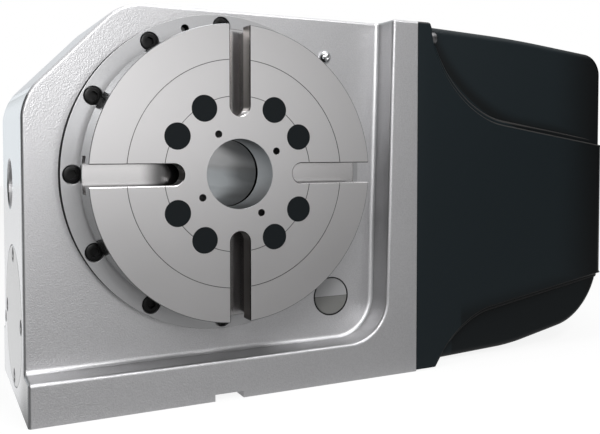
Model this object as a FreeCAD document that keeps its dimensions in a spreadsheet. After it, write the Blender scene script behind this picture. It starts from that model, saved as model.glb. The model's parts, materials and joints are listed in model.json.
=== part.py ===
import FreeCAD, Part
import math
import os
import Sketcher

# A CNC rotary table on its side: faceplate, spindle, worm drive, brake, motor and cover.
# Millimetres. The origin is on the spindle axis at the faceplate's front face,
# +X points to the motor cover, +Y into the table and +Z up.

os.makedirs("parts", exist_ok=True)
Vector = FreeCAD.Vector
doc = FreeCAD.newDocument("rotary_table")
sheet = doc.addObject("Spreadsheet::Sheet", "Sizes")
pieces = []


class Size:
    # a length that keeps its spreadsheet expression, so that what is worked out from it follows the sheet

    def __init__(self, value, text):
        self.value = float(value)
        self.text = text

    def __add__(self, other):
        return Size(self.value + number(other), f"({self.text} + {words(other)})")

    def __radd__(self, other):
        return Size(number(other) + self.value, f"({words(other)} + {self.text})")

    def __sub__(self, other):
        return Size(self.value - number(other), f"({self.text} - {words(other)})")

    def __rsub__(self, other):
        return Size(number(other) - self.value, f"({words(other)} - {self.text})")

    def __mul__(self, other):
        return Size(self.value * number(other), f"({self.text} * {words(other)})")

    __rmul__ = __mul__

    def __truediv__(self, other):
        return Size(self.value / number(other), f"({self.text} / {words(other)})")

    def __neg__(self):
        return Size(-self.value, f"(0 - {self.text})")


def number(thing):
    return thing.value if isinstance(thing, Size) else float(thing)


def words(thing):
    return thing.text if isinstance(thing, Size) else f"({float(thing):.9f})"


def size(name, value):
    row = len(sheet.getUsedCells()) + 1
    sheet.set(f"A{row}", str(value))
    sheet.setAlias(f"A{row}", name)
    return Size(value, f"Sizes.{name}")


def bind(thing, field, value):
    thing.setExpression(field, words(value))


# Faceplate
plate_radius = size("plate_radius", 85)
plate_thick = size("plate_thick", 23)
bore_radius = size("bore_radius", 20)
bore_chamfer = size("bore_chamfer", 1)
slot_width = size("slot_width", 12)
slot_lip = size("slot_lip", 10)
slot_foot_width = size("slot_foot_width", 21)
slot_depth = size("slot_depth", 19)
slot_end = size("slot_end", 39)
outer_line = size("outer_line", 65)
inner_line = size("inner_line", 44.4)
line_width = size("line_width", 0.6)
line_depth = size("line_depth", 0.4)
plug_clear = size("plug_clear", 0.9)
plug_ring = size("plug_ring", 42.5)
plug_thick = size("plug_thick", 2.4)
plug_sunk = size("plug_sunk", 0.1)
tap_ring = size("tap_ring", 26)
tap_radius = size("tap_radius", 2.1)
tap_depth = size("tap_depth", 12)

# Spindle, main bearing and front flange, from the inside out
spindle_body = size("spindle_body", 40)
spindle_step = size("spindle_step", 15)
collar_step = size("collar_step", 7)
inner_ring_wall = size("inner_ring_wall", 11)
outer_ring_wall = size("outer_ring_wall", 14)
bearing_width = size("bearing_width", 18)
roller_size = size("roller_size", 9)
roller_trim = size("roller_trim", 0.6)
race_gap = size("race_gap", 0.7)
split_gap = size("split_gap", 0.2)
run_fit = size("run_fit", 0.05)
seal_wall = size("seal_wall", 11)
seal_sunk = size("seal_sunk", 2)
spigot = size("spigot", 4.5)
spigot_lip = size("spigot_lip", 12)
flange_gap = size("flange_gap", 3)
flange_pitch = size("flange_pitch", 8.3)
flange_rim = size("flange_rim", 6.2)
jack_radius = size("jack_radius", 2.25)

# Casting
left_margin = size("left_margin", 19.5)
right_margin = size("right_margin", 39.5)
top_margin = size("top_margin", 4.5)
foot_margin = size("foot_margin", 5.5)
corner_cut = size("corner_cut", 56)
corner_round = size("corner_round", 28)
front_y = size("front_y", 18)
floor_y = size("floor_y", 37.5)
foot_height = size("foot_height", 24)
column_width = size("column_width", 19.3)
column_lean = size("column_lean", 5.1)
column_round = size("column_round", 27)
edge_round = size("edge_round", 2.5)
key_width = size("key_width", 18)
key_height = size("key_height", 4)
heel_height = size("heel_height", 30.5)
heel_depth = size("heel_depth", 8)

# Worm drive
wheel_space = size("wheel_space", 25)
wheel_half = size("wheel_half", 12)
hub_length = size("hub_length", 12)
hub_step = size("hub_step", 4.8)
worm_module = size("worm_module", 2.25)
worm_radius = size("worm_radius", 19)
worm_play = size("worm_play", 0.25)
chamber_play = size("chamber_play", 1.75)
tunnel_play = size("tunnel_play", 0.75)
journal_radius = size("journal_radius", 15)
journal_step = size("journal_step", 1)
stub_step = size("stub_step", 3)
bearing_wall = size("bearing_wall", 16)
bearing_deep = size("bearing_deep", 16)
inner_wall = size("inner_wall", 4)
outer_wall = size("outer_wall", 5)
end_space = size("end_space", 16)
end_rim = size("end_rim", 12)
end_cover_thick = size("end_cover_thick", 8)
nut_thick = size("nut_thick", 6)
nut_wall = size("nut_wall", 8)

# Spur gears between motor and worm
gear_module = size("gear_module", 1.5)
gear_face = size("gear_face", 14)
gear_space = size("gear_space", 12)
gear_inset = size("gear_inset", 4)
seal_space = size("seal_space", 10)
pocket_play = size("pocket_play", 3.5)

# Brake and rear
brake_gap = size("brake_gap", 0.5)
disc_thick = size("disc_thick", 3.5)
disc_clear = size("disc_clear", 1)
disc_head = size("disc_head", 2.5)
piston_gap = size("piston_gap", 0.7)
piston_width = size("piston_width", 12)
piston_long = size("piston_long", 8.8)
piston_groove = size("piston_groove", 10.5)
seal_depth = size("seal_depth", 2)
seal_thick = size("seal_thick", 3)
cylinder_core = size("cylinder_core", 14)
cylinder_wall = size("cylinder_wall", 2)
cylinder_lip = size("cylinder_lip", 1.5)
cylinder_tail = size("cylinder_tail", 6)
rear_step = size("rear_step", 5)
rear_inner_wall = size("rear_inner_wall", 5.5)
rear_roller_size = size("rear_roller_size", 5)
rear_outer_wall = size("rear_outer_wall", 4.5)
rear_width = size("rear_width", 10)
rear_lip = size("rear_lip", 3.5)
rear_rim = size("rear_rim", 14)
rear_cover_thick = size("rear_cover_thick", 9)
spindle_sunk = size("spindle_sunk", 6)
port_hole = size("port_hole", 3)
port_stem = size("port_stem", 5)
port_hex = size("port_hex", 6)

# Fittings on the casting
glass_offset = size("glass_offset", 20)
glass_radius = size("glass_radius", 12.75)
glass_wall = size("glass_wall", 0.75)
glass_seat = size("glass_seat", 1.5)
glass_proud = size("glass_proud", 0.4)
glass_deep = size("glass_deep", 10)
oiler_offset = size("oiler_offset", 10.2)
oiler_radius = size("oiler_radius", 4.2)
oiler_stem = size("oiler_stem", 8)
port_offset = size("port_offset", 13)
port_drop = size("port_drop", 7.3)
port_radius = size("port_radius", 15)
plug_depth = size("plug_depth", 12)
plug_set_in = size("plug_set_in", 3)
drain_offset = size("drain_offset", 5)
drain_radius = size("drain_radius", 3.75)
eye_radius = size("eye_radius", 4.25)
eye_depth = size("eye_depth", 20)

# Motor and its cover
motor_size = size("motor_size", 80)
motor_pilot = size("motor_pilot", 35)
motor_flange = size("motor_flange", 10)
motor_length = size("motor_length", 78)
encoder_length = size("encoder_length", 34)
motor_shaft_radius = size("motor_shaft_radius", 7)
mount_thick = size("mount_thick", 10)
cover_flange = size("cover_flange", 10)
cover_length = size("cover_length", 181)
cover_set_back = size("cover_set_back", 12)
cover_back_step = size("cover_back_step", 9)
cover_room = size("cover_room", 2)
cover_wall = size("cover_wall", 4)
cover_lift_off = size("cover_lift_off", 1)
cover_knee = size("cover_knee", 88)
cover_lift = size("cover_lift", 20.6)
cover_knee_drop = size("cover_knee_drop", 3.8)
cover_top_round = size("cover_top_round", 16)
cover_low_round = size("cover_low_round", 50)
cover_end_round = size("cover_end_round", 5)
shell_draft = size("shell_draft", 0.074)
belt_overhang = size("belt_overhang", 1)
belt_upper_run = size("belt_upper_run", 24.5)
belt_upper_drop = size("belt_upper_drop", 60)
belt_upper_round = size("belt_upper_round", 76)
belt_lower_run = size("belt_lower_run", 38)
belt_lower_rise = size("belt_lower_rise", 32)
belt_lower_lead = size("belt_lower_lead", 21.3)
belt_lower_round = size("belt_lower_round", 62)
belt_slope = size("belt_slope", 0.14)
belt_draft = size("belt_draft", 0.0524)
belt_end_round = size("belt_end_round", 8)

# Screws
small_screw = size("small_screw", 5)
mid_screw = size("mid_screw", 6)
large_screw = size("large_screw", 8)
screw_bite = size("screw_bite", 14)
hole_spare = size("hole_spare", 2)
head_clear = size("head_clear", 0.5)

doc.recompute()


def head_radius(screw):
    return screw * 0.825


def well_radius(screw):
    return head_radius(screw) + head_clear


def hole_radius(screw):
    return screw * 0.55


# Worked out from the sizes above, first along Y
flange_y = plate_thick + flange_gap
race_y = floor_y + spigot
race_far_y = race_y + bearing_width
race_mid_y = race_y + bearing_width / 2
worm_y = race_far_y + wheel_space
wheel_near_y = worm_y - wheel_half
wheel_far_y = worm_y + wheel_half
hub_far_y = wheel_far_y + hub_length
disc_far_y = hub_far_y + disc_thick
cylinder_y = disc_far_y + disc_clear
rear_race_y = cylinder_y + cylinder_lip
rear_race_far_y = rear_race_y + rear_width
cylinder_far_y = rear_race_far_y + cylinder_tail
back_y = cylinder_far_y + rear_cover_thick
spindle_end_y = back_y - spindle_sunk

# then outwards from the spindle axis
plug_radius = head_radius(large_screw) + plug_clear
spindle_seat = spindle_body + spindle_step
spindle_collar = spindle_seat + collar_step
roller_ring = spindle_seat + inner_ring_wall
seat_radius = roller_ring + outer_ring_wall
seal_radius = spindle_collar + seal_wall
flange_ring = seat_radius + flange_pitch
flange_radius = flange_ring + flange_rim
worm_teeth = 60
wheel_radius = worm_module * (worm_teeth / 2)
wheel_tip = wheel_radius + worm_module
wheel_root = wheel_radius - worm_module * 1.2
wheel_hub = wheel_root - hub_step
rear_journal = spindle_body - rear_step
rear_inner_race = rear_journal + rear_inner_wall
rear_outer_race = rear_inner_race + rear_roller_size
rear_race = rear_outer_race + rear_outer_wall
rear_cover_bore = rear_race - rear_lip
piston_inner = rear_race + cylinder_core
piston_outer = piston_inner + piston_width
brake_radius = piston_outer + cylinder_wall
disc_radius = brake_radius - disc_clear
rear_cover_radius = brake_radius + rear_rim

# and over the width and height of the housing
worm_z = -(wheel_radius + worm_radius)
bearing_outer = journal_radius + bearing_wall
stub_radius = journal_radius - stub_step
end_cover_radius = bearing_outer + end_rim
left_x = -(flange_radius + left_margin)
right_x = flange_radius + right_margin
top_z = flange_radius + top_margin
base_z = worm_z - end_cover_radius - foot_margin
ledge_z = base_z + foot_height
column_top_x = right_x - column_width
column_foot_x = column_top_x - column_lean
tunnel_radius = worm_radius + worm_module + tunnel_play
left_bearing_x = left_x + end_space
pocket_x = right_x - gear_face - gear_space
right_bearing_x = pocket_x - seal_space
gear_x = pocket_x + gear_inset
gear_far_x = gear_x + gear_face
gear_teeth = 48
pinion_teeth = 24
gear_radius = gear_module * (gear_teeth / 2)
pinion_radius = gear_module * (pinion_teeth / 2)
motor_z = worm_z + gear_radius + pinion_radius
mount_far_x = right_x + mount_thick
glass_turn = math.radians(-46.4)
glass_x = (flange_radius + glass_offset) * math.cos(glass_turn)
glass_z = (flange_radius + glass_offset) * math.sin(glass_turn)
oiler_x = (flange_radius + oiler_offset) * math.cos(math.pi / 4)
oiler_z = oiler_x
port_y = worm_y + port_offset
port_z = -port_drop
drain_turn = math.radians(-11.4)
drain_y = worm_y + (end_cover_radius + drain_offset) * math.cos(drain_turn)
drain_z = worm_z + (end_cover_radius + drain_offset) * math.sin(drain_turn)

# Frames: in "front" a sketch shows X and Z with depth along +Y,
# in "side" it shows -Y and Z with depth along +X
FRAMES = {
    "front": FreeCAD.Matrix(1, 0, 0, 0, 0, 0, -1, 0, 0, 1, 0, 0, 0, 0, 0, 1),
    "side": FreeCAD.Matrix(0, 0, -1, 0, -1, 0, 0, 0, 0, 1, 0, 0, 0, 0, 0, 1),
}


def new_body(name, frame="front", y=None, z=None):
    body = doc.addObject("PartDesign::Body", name)
    body.Label = name
    body.AllowCompound = True
    body.Placement = FreeCAD.Placement(FRAMES[frame])
    if y is not None:
        bind(body, "Placement.Base.y", y)
        bind(body, "Placement.Base.z", z)
    return body


def origin_of(body, role):
    return [item for item in body.Origin.OriginFeatures if item.Role == role][0]


def new_sketch(body, label, plane="XY_Plane", rise=None):
    sketch = body.newObject("Sketcher::SketchObject", label)
    sketch.AttachmentSupport = [(origin_of(body, plane), "")]
    sketch.MapMode = "FlatFace"
    if rise is not None:
        bind(sketch, "AttachmentOffset.Base.z", rise)
    return sketch


def hold(sketch, kind, index, point, value):
    place = sketch.addConstraint(Sketcher.Constraint(kind, -1, 1, index, point, number(value)))
    bind(sketch, f"Constraints[{place}]", value)


def polygon(sketch, points):
    first = sketch.GeometryCount
    corners = [Vector(number(x), number(y), 0) for x, y in points]
    count = len(corners)
    lines = [Part.LineSegment(corners[i], corners[(i + 1) % count]) for i in range(count)]
    sketch.addGeometry(lines, False)
    for i in range(count):
        sketch.addConstraint(Sketcher.Constraint("Coincident", first + i, 2, first + (i + 1) % count, 1))
    for i, (x, y) in enumerate(points):
        hold(sketch, "DistanceX", first + i, 1, x)
        hold(sketch, "DistanceY", first + i, 1, y)


def circle(sketch, x, y, radius):
    index = sketch.GeometryCount
    sketch.addGeometry(Part.Circle(Vector(number(x), number(y), 0), Vector(0, 0, 1), number(radius)), False)
    hold(sketch, "DistanceX", index, 3, x)
    hold(sketch, "DistanceY", index, 3, y)
    place = sketch.addConstraint(Sketcher.Constraint("Radius", index, number(radius)))
    bind(sketch, f"Constraints[{place}]", radius)


def circles(spots, radius):
    def draw(sketch):
        for x, y in spots:
            circle(sketch, x, y, radius)

    return draw


def rings(outer, inner):
    def draw(sketch):
        circle(sketch, 0, 0, outer)
        circle(sketch, 0, 0, inner)

    return draw


def hexes(spots, radius):
    def draw(sketch):
        for x, y in spots:
            polygon(sketch, [(x + radius * a, y + radius * b) for a, b in turned_spots(1, 6, 0)])

    return draw


def shape(points):
    return lambda sketch: polygon(sketch, points)


def box(x_low, x_high, y_low, y_high):
    return shape([(x_low, y_low), (x_high, y_low), (x_high, y_high), (x_low, y_high)])


def turned_spots(ring, count, start):
    steps = [math.radians(start + 360 * i / count) for i in range(count)]
    return [(ring * math.cos(step), ring * math.sin(step)) for step in steps]


def slab(body, label, low, high, draw):
    # material from depth low to depth high
    sketch = new_sketch(body, f"{label}_sketch", rise=-as_size(high))
    draw(sketch)
    pad = body.newObject("PartDesign::Pad", label)
    pad.Profile = sketch
    bind(pad, "Length", as_size(high) - low)
    return pad


def sink(body, label, low, high, draw):
    # a cut from depth low to depth high
    sketch = new_sketch(body, f"{label}_sketch", rise=-as_size(low))
    draw(sketch)
    pocket = body.newObject("PartDesign::Pocket", label)
    pocket.Profile = sketch
    bind(pocket, "Length", as_size(high) - low)
    return pocket


def sink_across(body, label, low, high, draw):
    # a cut along X in a "front" body: its sketch shows Z to the right and -Y upwards
    sketch = new_sketch(body, f"{label}_sketch", plane="YZ_Plane", rise=as_size(high))
    draw(sketch)
    pocket = body.newObject("PartDesign::Pocket", label)
    pocket.Profile = sketch
    bind(pocket, "Length", as_size(high) - low)
    return pocket


def as_size(thing):
    return thing if isinstance(thing, Size) else Size(thing, words(thing))


def revolve(body, label, points):
    # a profile of radius and depth, turned about the frame's own axis
    sketch = new_sketch(body, f"{label}_sketch", plane="XZ_Plane")
    polygon(sketch, [(radius, -as_size(depth)) for radius, depth in points])
    turn = body.newObject("PartDesign::Revolution", label)
    turn.Profile = sketch
    turn.ReferenceAxis = (sketch, ["V_Axis"])
    turn.Angle = 360
    return turn


def repeat(body, label, features, count):
    pattern = body.newObject("PartDesign::PolarPattern", label)
    pattern.Originals = features
    pattern.Axis = (origin_of(body, "Z_Axis"), [""])
    pattern.Angle = 360
    pattern.Occurrences = count
    body.Tip = pattern
    return pattern


def round_edges(body, label, radius, wanted):
    doc.recompute()
    base = body.Tip
    names = [f"Edge{i + 1}" for i, edge in enumerate(base.Shape.Edges) if wanted(edge)]
    fillet = body.newObject("PartDesign::Fillet", label)
    fillet.Base = (base, names)
    bind(fillet, "Radius", radius)
    body.Tip = fillet
    return fillet


def runs_deep(x, y):
    # picks the straight edges along the frame's depth through this point of its sketches
    def wanted(edge):
        ends = [vertex.Point for vertex in edge.Vertexes]
        return all(math.hypot(end.x - number(x), end.y - number(y)) < 0.01 for end in ends)

    return wanted


def lies_at(depth, inside):
    # picks the edges in the plane at this depth whose middle passes the inside test
    def wanted(edge):
        flat = all(abs(vertex.Point.z + number(depth)) < 0.01 for vertex in edge.Vertexes)
        middle = edge.valueAt((edge.FirstParameter + edge.LastParameter) / 2)
        return flat and abs(middle.z + number(depth)) < 0.01 and inside(middle.x, middle.y)

    return wanted


def stands_at(x):
    # picks the upright edges at this X
    def wanted(edge):
        ends = [vertex.Point for vertex in edge.Vertexes]
        level = abs(ends[0].z - ends[-1].z) < 0.01 < abs(ends[0].y - ends[-1].y)
        return level and all(abs(end.x - number(x)) < 0.01 for end in ends)

    return wanted


def turned_piece(name, points, frame="front", y=None, z=None):
    body = new_body(name, frame, y, z)
    revolve(body, f"{name}_turn", points)
    return keep(body)


def keep(piece):
    pieces.append(piece)
    return piece


def cap_screws(name, screw, spots, top, tip, frame="front", y=None, z=None, head=None):
    # cap screws with their heads' tops at one depth and their tips at another
    body = new_body(name, frame, y, z)
    way = 1 if number(tip) > number(top) else -1
    top = as_size(top)
    under = top + (head or screw) * way
    spans = [(top, under), (under, tip)]
    head_span, shank_span = [span if way > 0 else span[::-1] for span in spans]
    slab(body, f"{name}_heads", *head_span, circles(spots, head_radius(screw)))
    slab(body, f"{name}_shanks", *shank_span, circles(spots, screw / 2))
    return keep(body)


# Where the screws sit
plug_spots = [spot for i, spot in enumerate(turned_spots(plug_ring, 12, 0)) if i % 3]
flange_spots = turned_spots(flange_ring, 12, 0)[1:]  # the place on the right has none
wheel_spots = turned_spots(spindle_body + spindle_step / 2, 8, 22.5)
disc_spots = turned_spots(wheel_hub - small_screw * 0.8, 8, 0)
rear_spots = turned_spots(brake_radius + rear_rim / 2, 8, 22.5)
end_spots = turned_spots(bearing_outer + end_rim / 2, 4, 0)
motor_spots = turned_spots(motor_size * 0.5625, 4, 45)
port_spot = [(0, (piston_inner + piston_outer) / 2)]
mount_half = motor_size / 2 + cover_room / 2
mount_screw_y = mount_half - mid_screw
mount_top = motor_z + motor_size / 2 + mid_screw * 2 + 1
mount_low = base_z + mid_screw + 1
mount_rows = (mount_top - mid_screw, mount_low + mid_screw)
mount_spots = [(side * mount_screw_y, z) for side in (-1, 1) for z in mount_rows]
cover_end_x = right_x + cover_length
cover_flange_x = right_x + cover_flange
cover_seat_x = cover_flange_x + 2
cover_low_z = base_z + cover_lift_off
cover_far_y = worm_y + motor_size / 2 + cover_room + cover_wall + cover_back_step
cover_upper_z = top_z - small_screw * 2
cover_lower_z = cover_low_z + small_screw * 2
cover_front_y = front_y + cover_set_back / 2
cover_rear_y = cover_far_y - cover_back_step / 2


def make_faceplate():
    body = new_body("faceplate")
    half = line_width / 2
    groove = [(ring + half * a, line_depth * b) for ring in (inner_line, outer_line)
              for a, b in ((-1, 0), (-1, 1), (1, 1), (1, 0))]
    revolve(body, "plate_turn", [(bore_radius, 0), *groove, (plate_radius, 0), (plate_radius, plate_thick),
                                 (bore_radius + bore_chamfer, plate_thick),
                                 (bore_radius, plate_thick - bore_chamfer)])
    past = plate_radius + slot_width
    lip_run = sink(body, "slot_lip_run", 0, slot_lip, box(slot_end, past, slot_width / -2, slot_width / 2))
    lip_end = sink(body, "slot_lip_end", 0, slot_lip, circles([(slot_end, 0)], slot_width / 2))
    foot = slot_foot_width / 2
    foot_run = sink(body, "slot_foot_run", slot_lip, slot_depth, box(slot_end, past, -foot, foot))
    foot_end = sink(body, "slot_foot_end", slot_lip, slot_depth, circles([(slot_end, 0)], foot))
    repeat(body, "slots", [lip_run, lip_end, foot_run, foot_end], 4)
    well_depth = plug_sunk + plug_thick + head_clear + large_screw
    sink(body, "counterbores", 0, well_depth, circles(plug_spots, plug_radius))
    sink(body, "bolt_holes", plug_thick, plate_thick, circles(plug_spots, hole_radius(large_screw)))
    sink(body, "tapped_holes", 0, tap_depth, circles(turned_spots(tap_ring, 4, 30), tap_radius))
    return keep(body)


def make_spindle():
    body = new_body("spindle")
    nut_radius = rear_journal - hole_spare
    revolve(body, "spindle_turn", [(bore_radius + bore_chamfer, plate_thick), (spindle_collar, plate_thick),
                                   (spindle_collar, race_y), (spindle_seat, race_y),
                                   (spindle_seat, race_far_y), (spindle_body, race_far_y),
                                   (spindle_body, rear_race_y), (rear_journal, rear_race_y),
                                   (rear_journal, rear_race_far_y), (nut_radius, rear_race_far_y),
                                   (nut_radius, spindle_end_y), (bore_radius, spindle_end_y),
                                   (bore_radius, plate_thick + bore_chamfer)])
    sink(body, "plate_taps", plate_thick, plate_thick + screw_bite + hole_spare,
         circles(plug_spots, large_screw / 2))
    sink(body, "wheel_taps", race_far_y - screw_bite - hole_spare, race_far_y,
         circles(wheel_spots, mid_screw / 2))
    return keep(body)


def make_bearing():
    # a crossed-roller bearing: two races with square grooves on their corners, the outer one split
    half = roller_size * (1 / math.sqrt(2)) + run_fit * math.sqrt(2)
    inner_face = roller_ring - race_gap
    outer_face = roller_ring + race_gap
    reach = half - race_gap
    turned_piece("bearing_inner_ring", [(spindle_seat, race_y), (inner_face, race_y),
                                        (inner_face, race_mid_y - reach), (roller_ring - half, race_mid_y),
                                        (inner_face, race_mid_y + reach), (inner_face, race_far_y),
                                        (spindle_seat, race_far_y)])
    split = split_gap / 2
    outer = new_body("bearing_outer_rings")
    for label, face, way in (("front", race_y, -1), ("rear", race_far_y, 1)):
        revolve(outer, f"outer_{label}", [(outer_face, face), (seat_radius, face),
                                          (seat_radius, race_mid_y + split * way),
                                          (roller_ring + half - split, race_mid_y + split * way),
                                          (outer_face, race_mid_y + reach * way)])
    keep(outer)
    length = roller_size - roller_trim
    rollers = []
    for i in range(24):
        around = math.radians(15 * i + 7.5)
        lean = 1 if i % 2 else -1
        along = Vector(math.cos(around), lean, math.sin(around)) / math.sqrt(2)
        roller = doc.addObject("Part::Cylinder", f"roller_{i + 1}")
        roller.Placement = FreeCAD.Placement(Vector(), FreeCAD.Rotation(Vector(0, 0, 1), along))
        bind(roller, "Radius", roller_size / 2)
        bind(roller, "Height", length)
        bind(roller, "Placement.Base.x", roller_ring * math.cos(around) - length * (along.x / 2))
        bind(roller, "Placement.Base.y", race_mid_y - length * (along.y / 2))
        bind(roller, "Placement.Base.z", roller_ring * math.sin(around) - length * (along.z / 2))
        rollers.append(roller)
    group = doc.addObject("Part::Compound", "bearing_rollers")
    group.Label = "bearing_rollers"
    group.Links = rollers
    keep(group)


def make_flange():
    body = new_body("bearing_flange")
    revolve(body, "flange_turn", [(seal_radius, flange_y), (flange_radius, flange_y),
                                  (flange_radius, floor_y), (seat_radius, floor_y), (seat_radius, race_y),
                                  (seat_radius - spigot_lip, race_y), (seat_radius - spigot_lip, floor_y),
                                  (seal_radius, floor_y)])
    sink(body, "head_wells", flange_y, flange_y + mid_screw + head_clear,
         circles(flange_spots, well_radius(mid_screw)))
    sink(body, "screw_holes", flange_y, floor_y, circles(flange_spots, hole_radius(mid_screw)))
    sink(body, "jack_hole", flange_y, floor_y, circles(turned_spots(flange_ring, 1, 105), jack_radius))
    keep(body)
    cap_screws("flange_screws", mid_screw, flange_spots, flange_y + head_clear, floor_y + screw_bite)
    seal_y = flange_y + seal_sunk
    turned_piece("spindle_seal", [(spindle_collar + run_fit, seal_y), (seal_radius, seal_y),
                                  (seal_radius, floor_y), (spindle_collar + run_fit, floor_y)])


def make_faceplate_fixings():
    plug_far = plug_sunk + plug_thick
    cap_screws("faceplate_screws", large_screw, plug_spots, plug_far + head_clear, plate_thick + screw_bite)
    body = new_body("faceplate_plugs")
    slab(body, "plug_discs", plug_sunk, plug_far, circles(plug_spots, plug_radius))
    keep(body)


def make_worm_wheel():
    body = new_body("worm_wheel")
    revolve(body, "wheel_turn", [(spindle_body, race_far_y), (wheel_hub, race_far_y),
                                 (wheel_hub, wheel_near_y), (wheel_tip, wheel_near_y),
                                 (wheel_tip, wheel_far_y), (wheel_hub, wheel_far_y), (wheel_hub, hub_far_y),
                                 (spindle_body, hub_far_y)])
    # one tooth gap at the bottom, leaning with the worm's lead angle
    lean = worm_module / worm_radius / 2
    rise = math.tan(math.radians(20))
    middle = worm_module * (math.pi / 4)
    outside = middle + worm_module * (1.2 * rise)
    inside = middle - worm_module * (1.2 * rise)
    shift = lean * wheel_half
    rim = wheel_radius + worm_module * 1.2
    gap = sink(body, "tooth_gap", wheel_near_y, wheel_far_y,
               shape([(shift - outside, -rim), (shift + outside, -rim), (shift + inside, -wheel_root),
                      (shift - inside, -wheel_root)]))
    gap.UseCustomVector = True
    bind(gap, "Direction.x", -lean)
    bind(gap, "Direction.y", 0)
    bind(gap, "Direction.z", -1)
    gap.AlongSketchNormal = True
    repeat(body, "teeth", [gap], worm_teeth)
    sink(body, "screw_ways", race_far_y, hub_far_y, circles(wheel_spots, hole_radius(mid_screw)))
    sink(body, "screw_wells", hub_far_y - mid_screw - head_clear, hub_far_y,
         circles(wheel_spots, well_radius(mid_screw)))
    sink(body, "disc_taps", wheel_far_y, hub_far_y, circles(disc_spots, small_screw / 2))
    keep(body)
    cap_screws("wheel_screws", mid_screw, wheel_spots, hub_far_y - head_clear, race_far_y - screw_bite)


def make_worm():
    body = new_body("worm_shaft", "side", worm_y, worm_z)
    pitch = worm_module * math.pi
    root = worm_radius - worm_module * 1.2
    tip = worm_radius + worm_module
    neck = journal_radius + journal_step
    thread_half = pitch * 3.2
    left_inner = left_bearing_x + bearing_deep
    right_inner = right_bearing_x - bearing_deep
    left_end = left_bearing_x - nut_thick
    right_end = gear_far_x + nut_thick
    revolve(body, "shaft_turn", [(0, left_end), (stub_radius, left_end), (stub_radius, left_bearing_x),
                                 (journal_radius, left_bearing_x), (journal_radius, left_inner),
                                 (neck, left_inner), (neck, -thread_half), (root, -thread_half),
                                 (root, thread_half), (neck, thread_half), (neck, right_inner),
                                 (journal_radius, right_inner), (journal_radius, right_bearing_x),
                                 (stub_radius, right_bearing_x), (stub_radius, right_end), (0, right_end)])
    # the thread crest faces the wheel's bottom gap at X = 0
    sketch = new_sketch(body, "thread_sketch", plane="XZ_Plane")
    rise = math.tan(math.radians(20))
    start = pitch * -2.25
    at_root = worm_module * (math.pi / 4 + 1.3 * rise) - worm_play
    at_tip = worm_module * (math.pi / 4 - rise) - worm_play
    foot = worm_radius - worm_module * 1.3
    polygon(sketch, [(foot, start - at_root), (tip, start - at_tip), (tip, start + at_tip),
                     (foot, start + at_root)])
    thread = body.newObject("PartDesign::AdditiveHelix", "thread")
    thread.Profile = sketch
    thread.ReferenceAxis = (sketch, ["V_Axis"])
    thread.Mode = "pitch-height-angle"
    bind(thread, "Pitch", pitch)
    bind(thread, "Height", pitch * 5)
    keep(body)
    nut = new_body("worm_lock_nut", "side", worm_y, worm_z)
    slab(nut, "nut_ring", left_end, left_bearing_x, rings(stub_radius + nut_wall, stub_radius))
    keep(nut)


def make_worm_bearings():
    inner_rings = new_body("worm_bearing_inners", "side", worm_y, worm_z)
    outer_rings = new_body("worm_bearing_outers", "side", worm_y, worm_z)
    rollers = new_body("worm_bearing_rollers", "side", worm_y, worm_z)
    inner_race = journal_radius + inner_wall
    outer_race = bearing_outer - outer_wall
    roller_radius = (outer_race - inner_race) / 2 - run_fit
    spots = turned_spots((inner_race + outer_race) / 2, 12, 15)
    rim = bearing_deep / 8
    for side, low in (("left", left_bearing_x), ("right", right_bearing_x - bearing_deep)):
        high = low + bearing_deep
        slab(inner_rings, f"inner_{side}", low, high, rings(inner_race, journal_radius))
        slab(outer_rings, f"outer_{side}", low, high, rings(bearing_outer, outer_race))
        slab(rollers, f"rollers_{side}", low + rim, high - rim, circles(spots, roller_radius))
    keep(inner_rings)
    keep(outer_rings)
    keep(rollers)
    cover_in = left_x + end_cover_thick
    hollow = bearing_outer - outer_wall
    floor = cover_in - end_cover_thick / 3
    body = new_body("worm_end_cover", "side", worm_y, worm_z)
    revolve(body, "end_cover_turn", [(0, left_x), (end_cover_radius, left_x), (end_cover_radius, cover_in),
                                     (bearing_outer, cover_in), (bearing_outer, left_bearing_x),
                                     (hollow, left_bearing_x), (hollow, floor), (0, floor)])
    sink(body, "end_wells", left_x, left_x + small_screw + head_clear,
         circles(end_spots, well_radius(small_screw)))
    sink(body, "end_holes", left_x, cover_in, circles(end_spots, hole_radius(small_screw)))
    keep(body)
    cap_screws("worm_end_screws", small_screw, end_spots, left_x + head_clear, cover_in + screw_bite, "side",
               worm_y, worm_z)
    seal_far = pocket_x - seal_space / 5
    seal_near = right_bearing_x + seal_space / 10
    bore = stub_radius + run_fit
    turned_piece("worm_seal", [(bore, seal_near), (hollow, seal_near), (hollow, right_bearing_x),
                               (bearing_outer, right_bearing_x), (bearing_outer, seal_far),
                               (bore, seal_far)], "side", worm_y, worm_z)


def involute_gap(teeth, middle_angle):
    # the space between two teeth, in modules, with flanks from the involute and a little backlash
    pitch = teeth / 2
    base = pitch * math.cos(math.radians(20))
    start = math.tan(math.radians(20)) - math.radians(20)
    slack = 0.1 / pitch

    def half_gap(radius):
        lean = math.acos(min(1, base / radius))
        return math.pi / (2 * teeth) - start + math.tan(lean) - lean + slack

    radii = [pitch - 1.25, max(base, pitch - 1), pitch - 0.35, pitch + 0.35, pitch + 1, pitch + 1.3]
    right = [(radius, middle_angle - half_gap(radius)) for radius in radii]
    left = [(radius, middle_angle + half_gap(radius)) for radius in reversed(radii)]
    return [(radius * math.cos(angle), radius * math.sin(angle)) for radius, angle in right + left]


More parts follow.
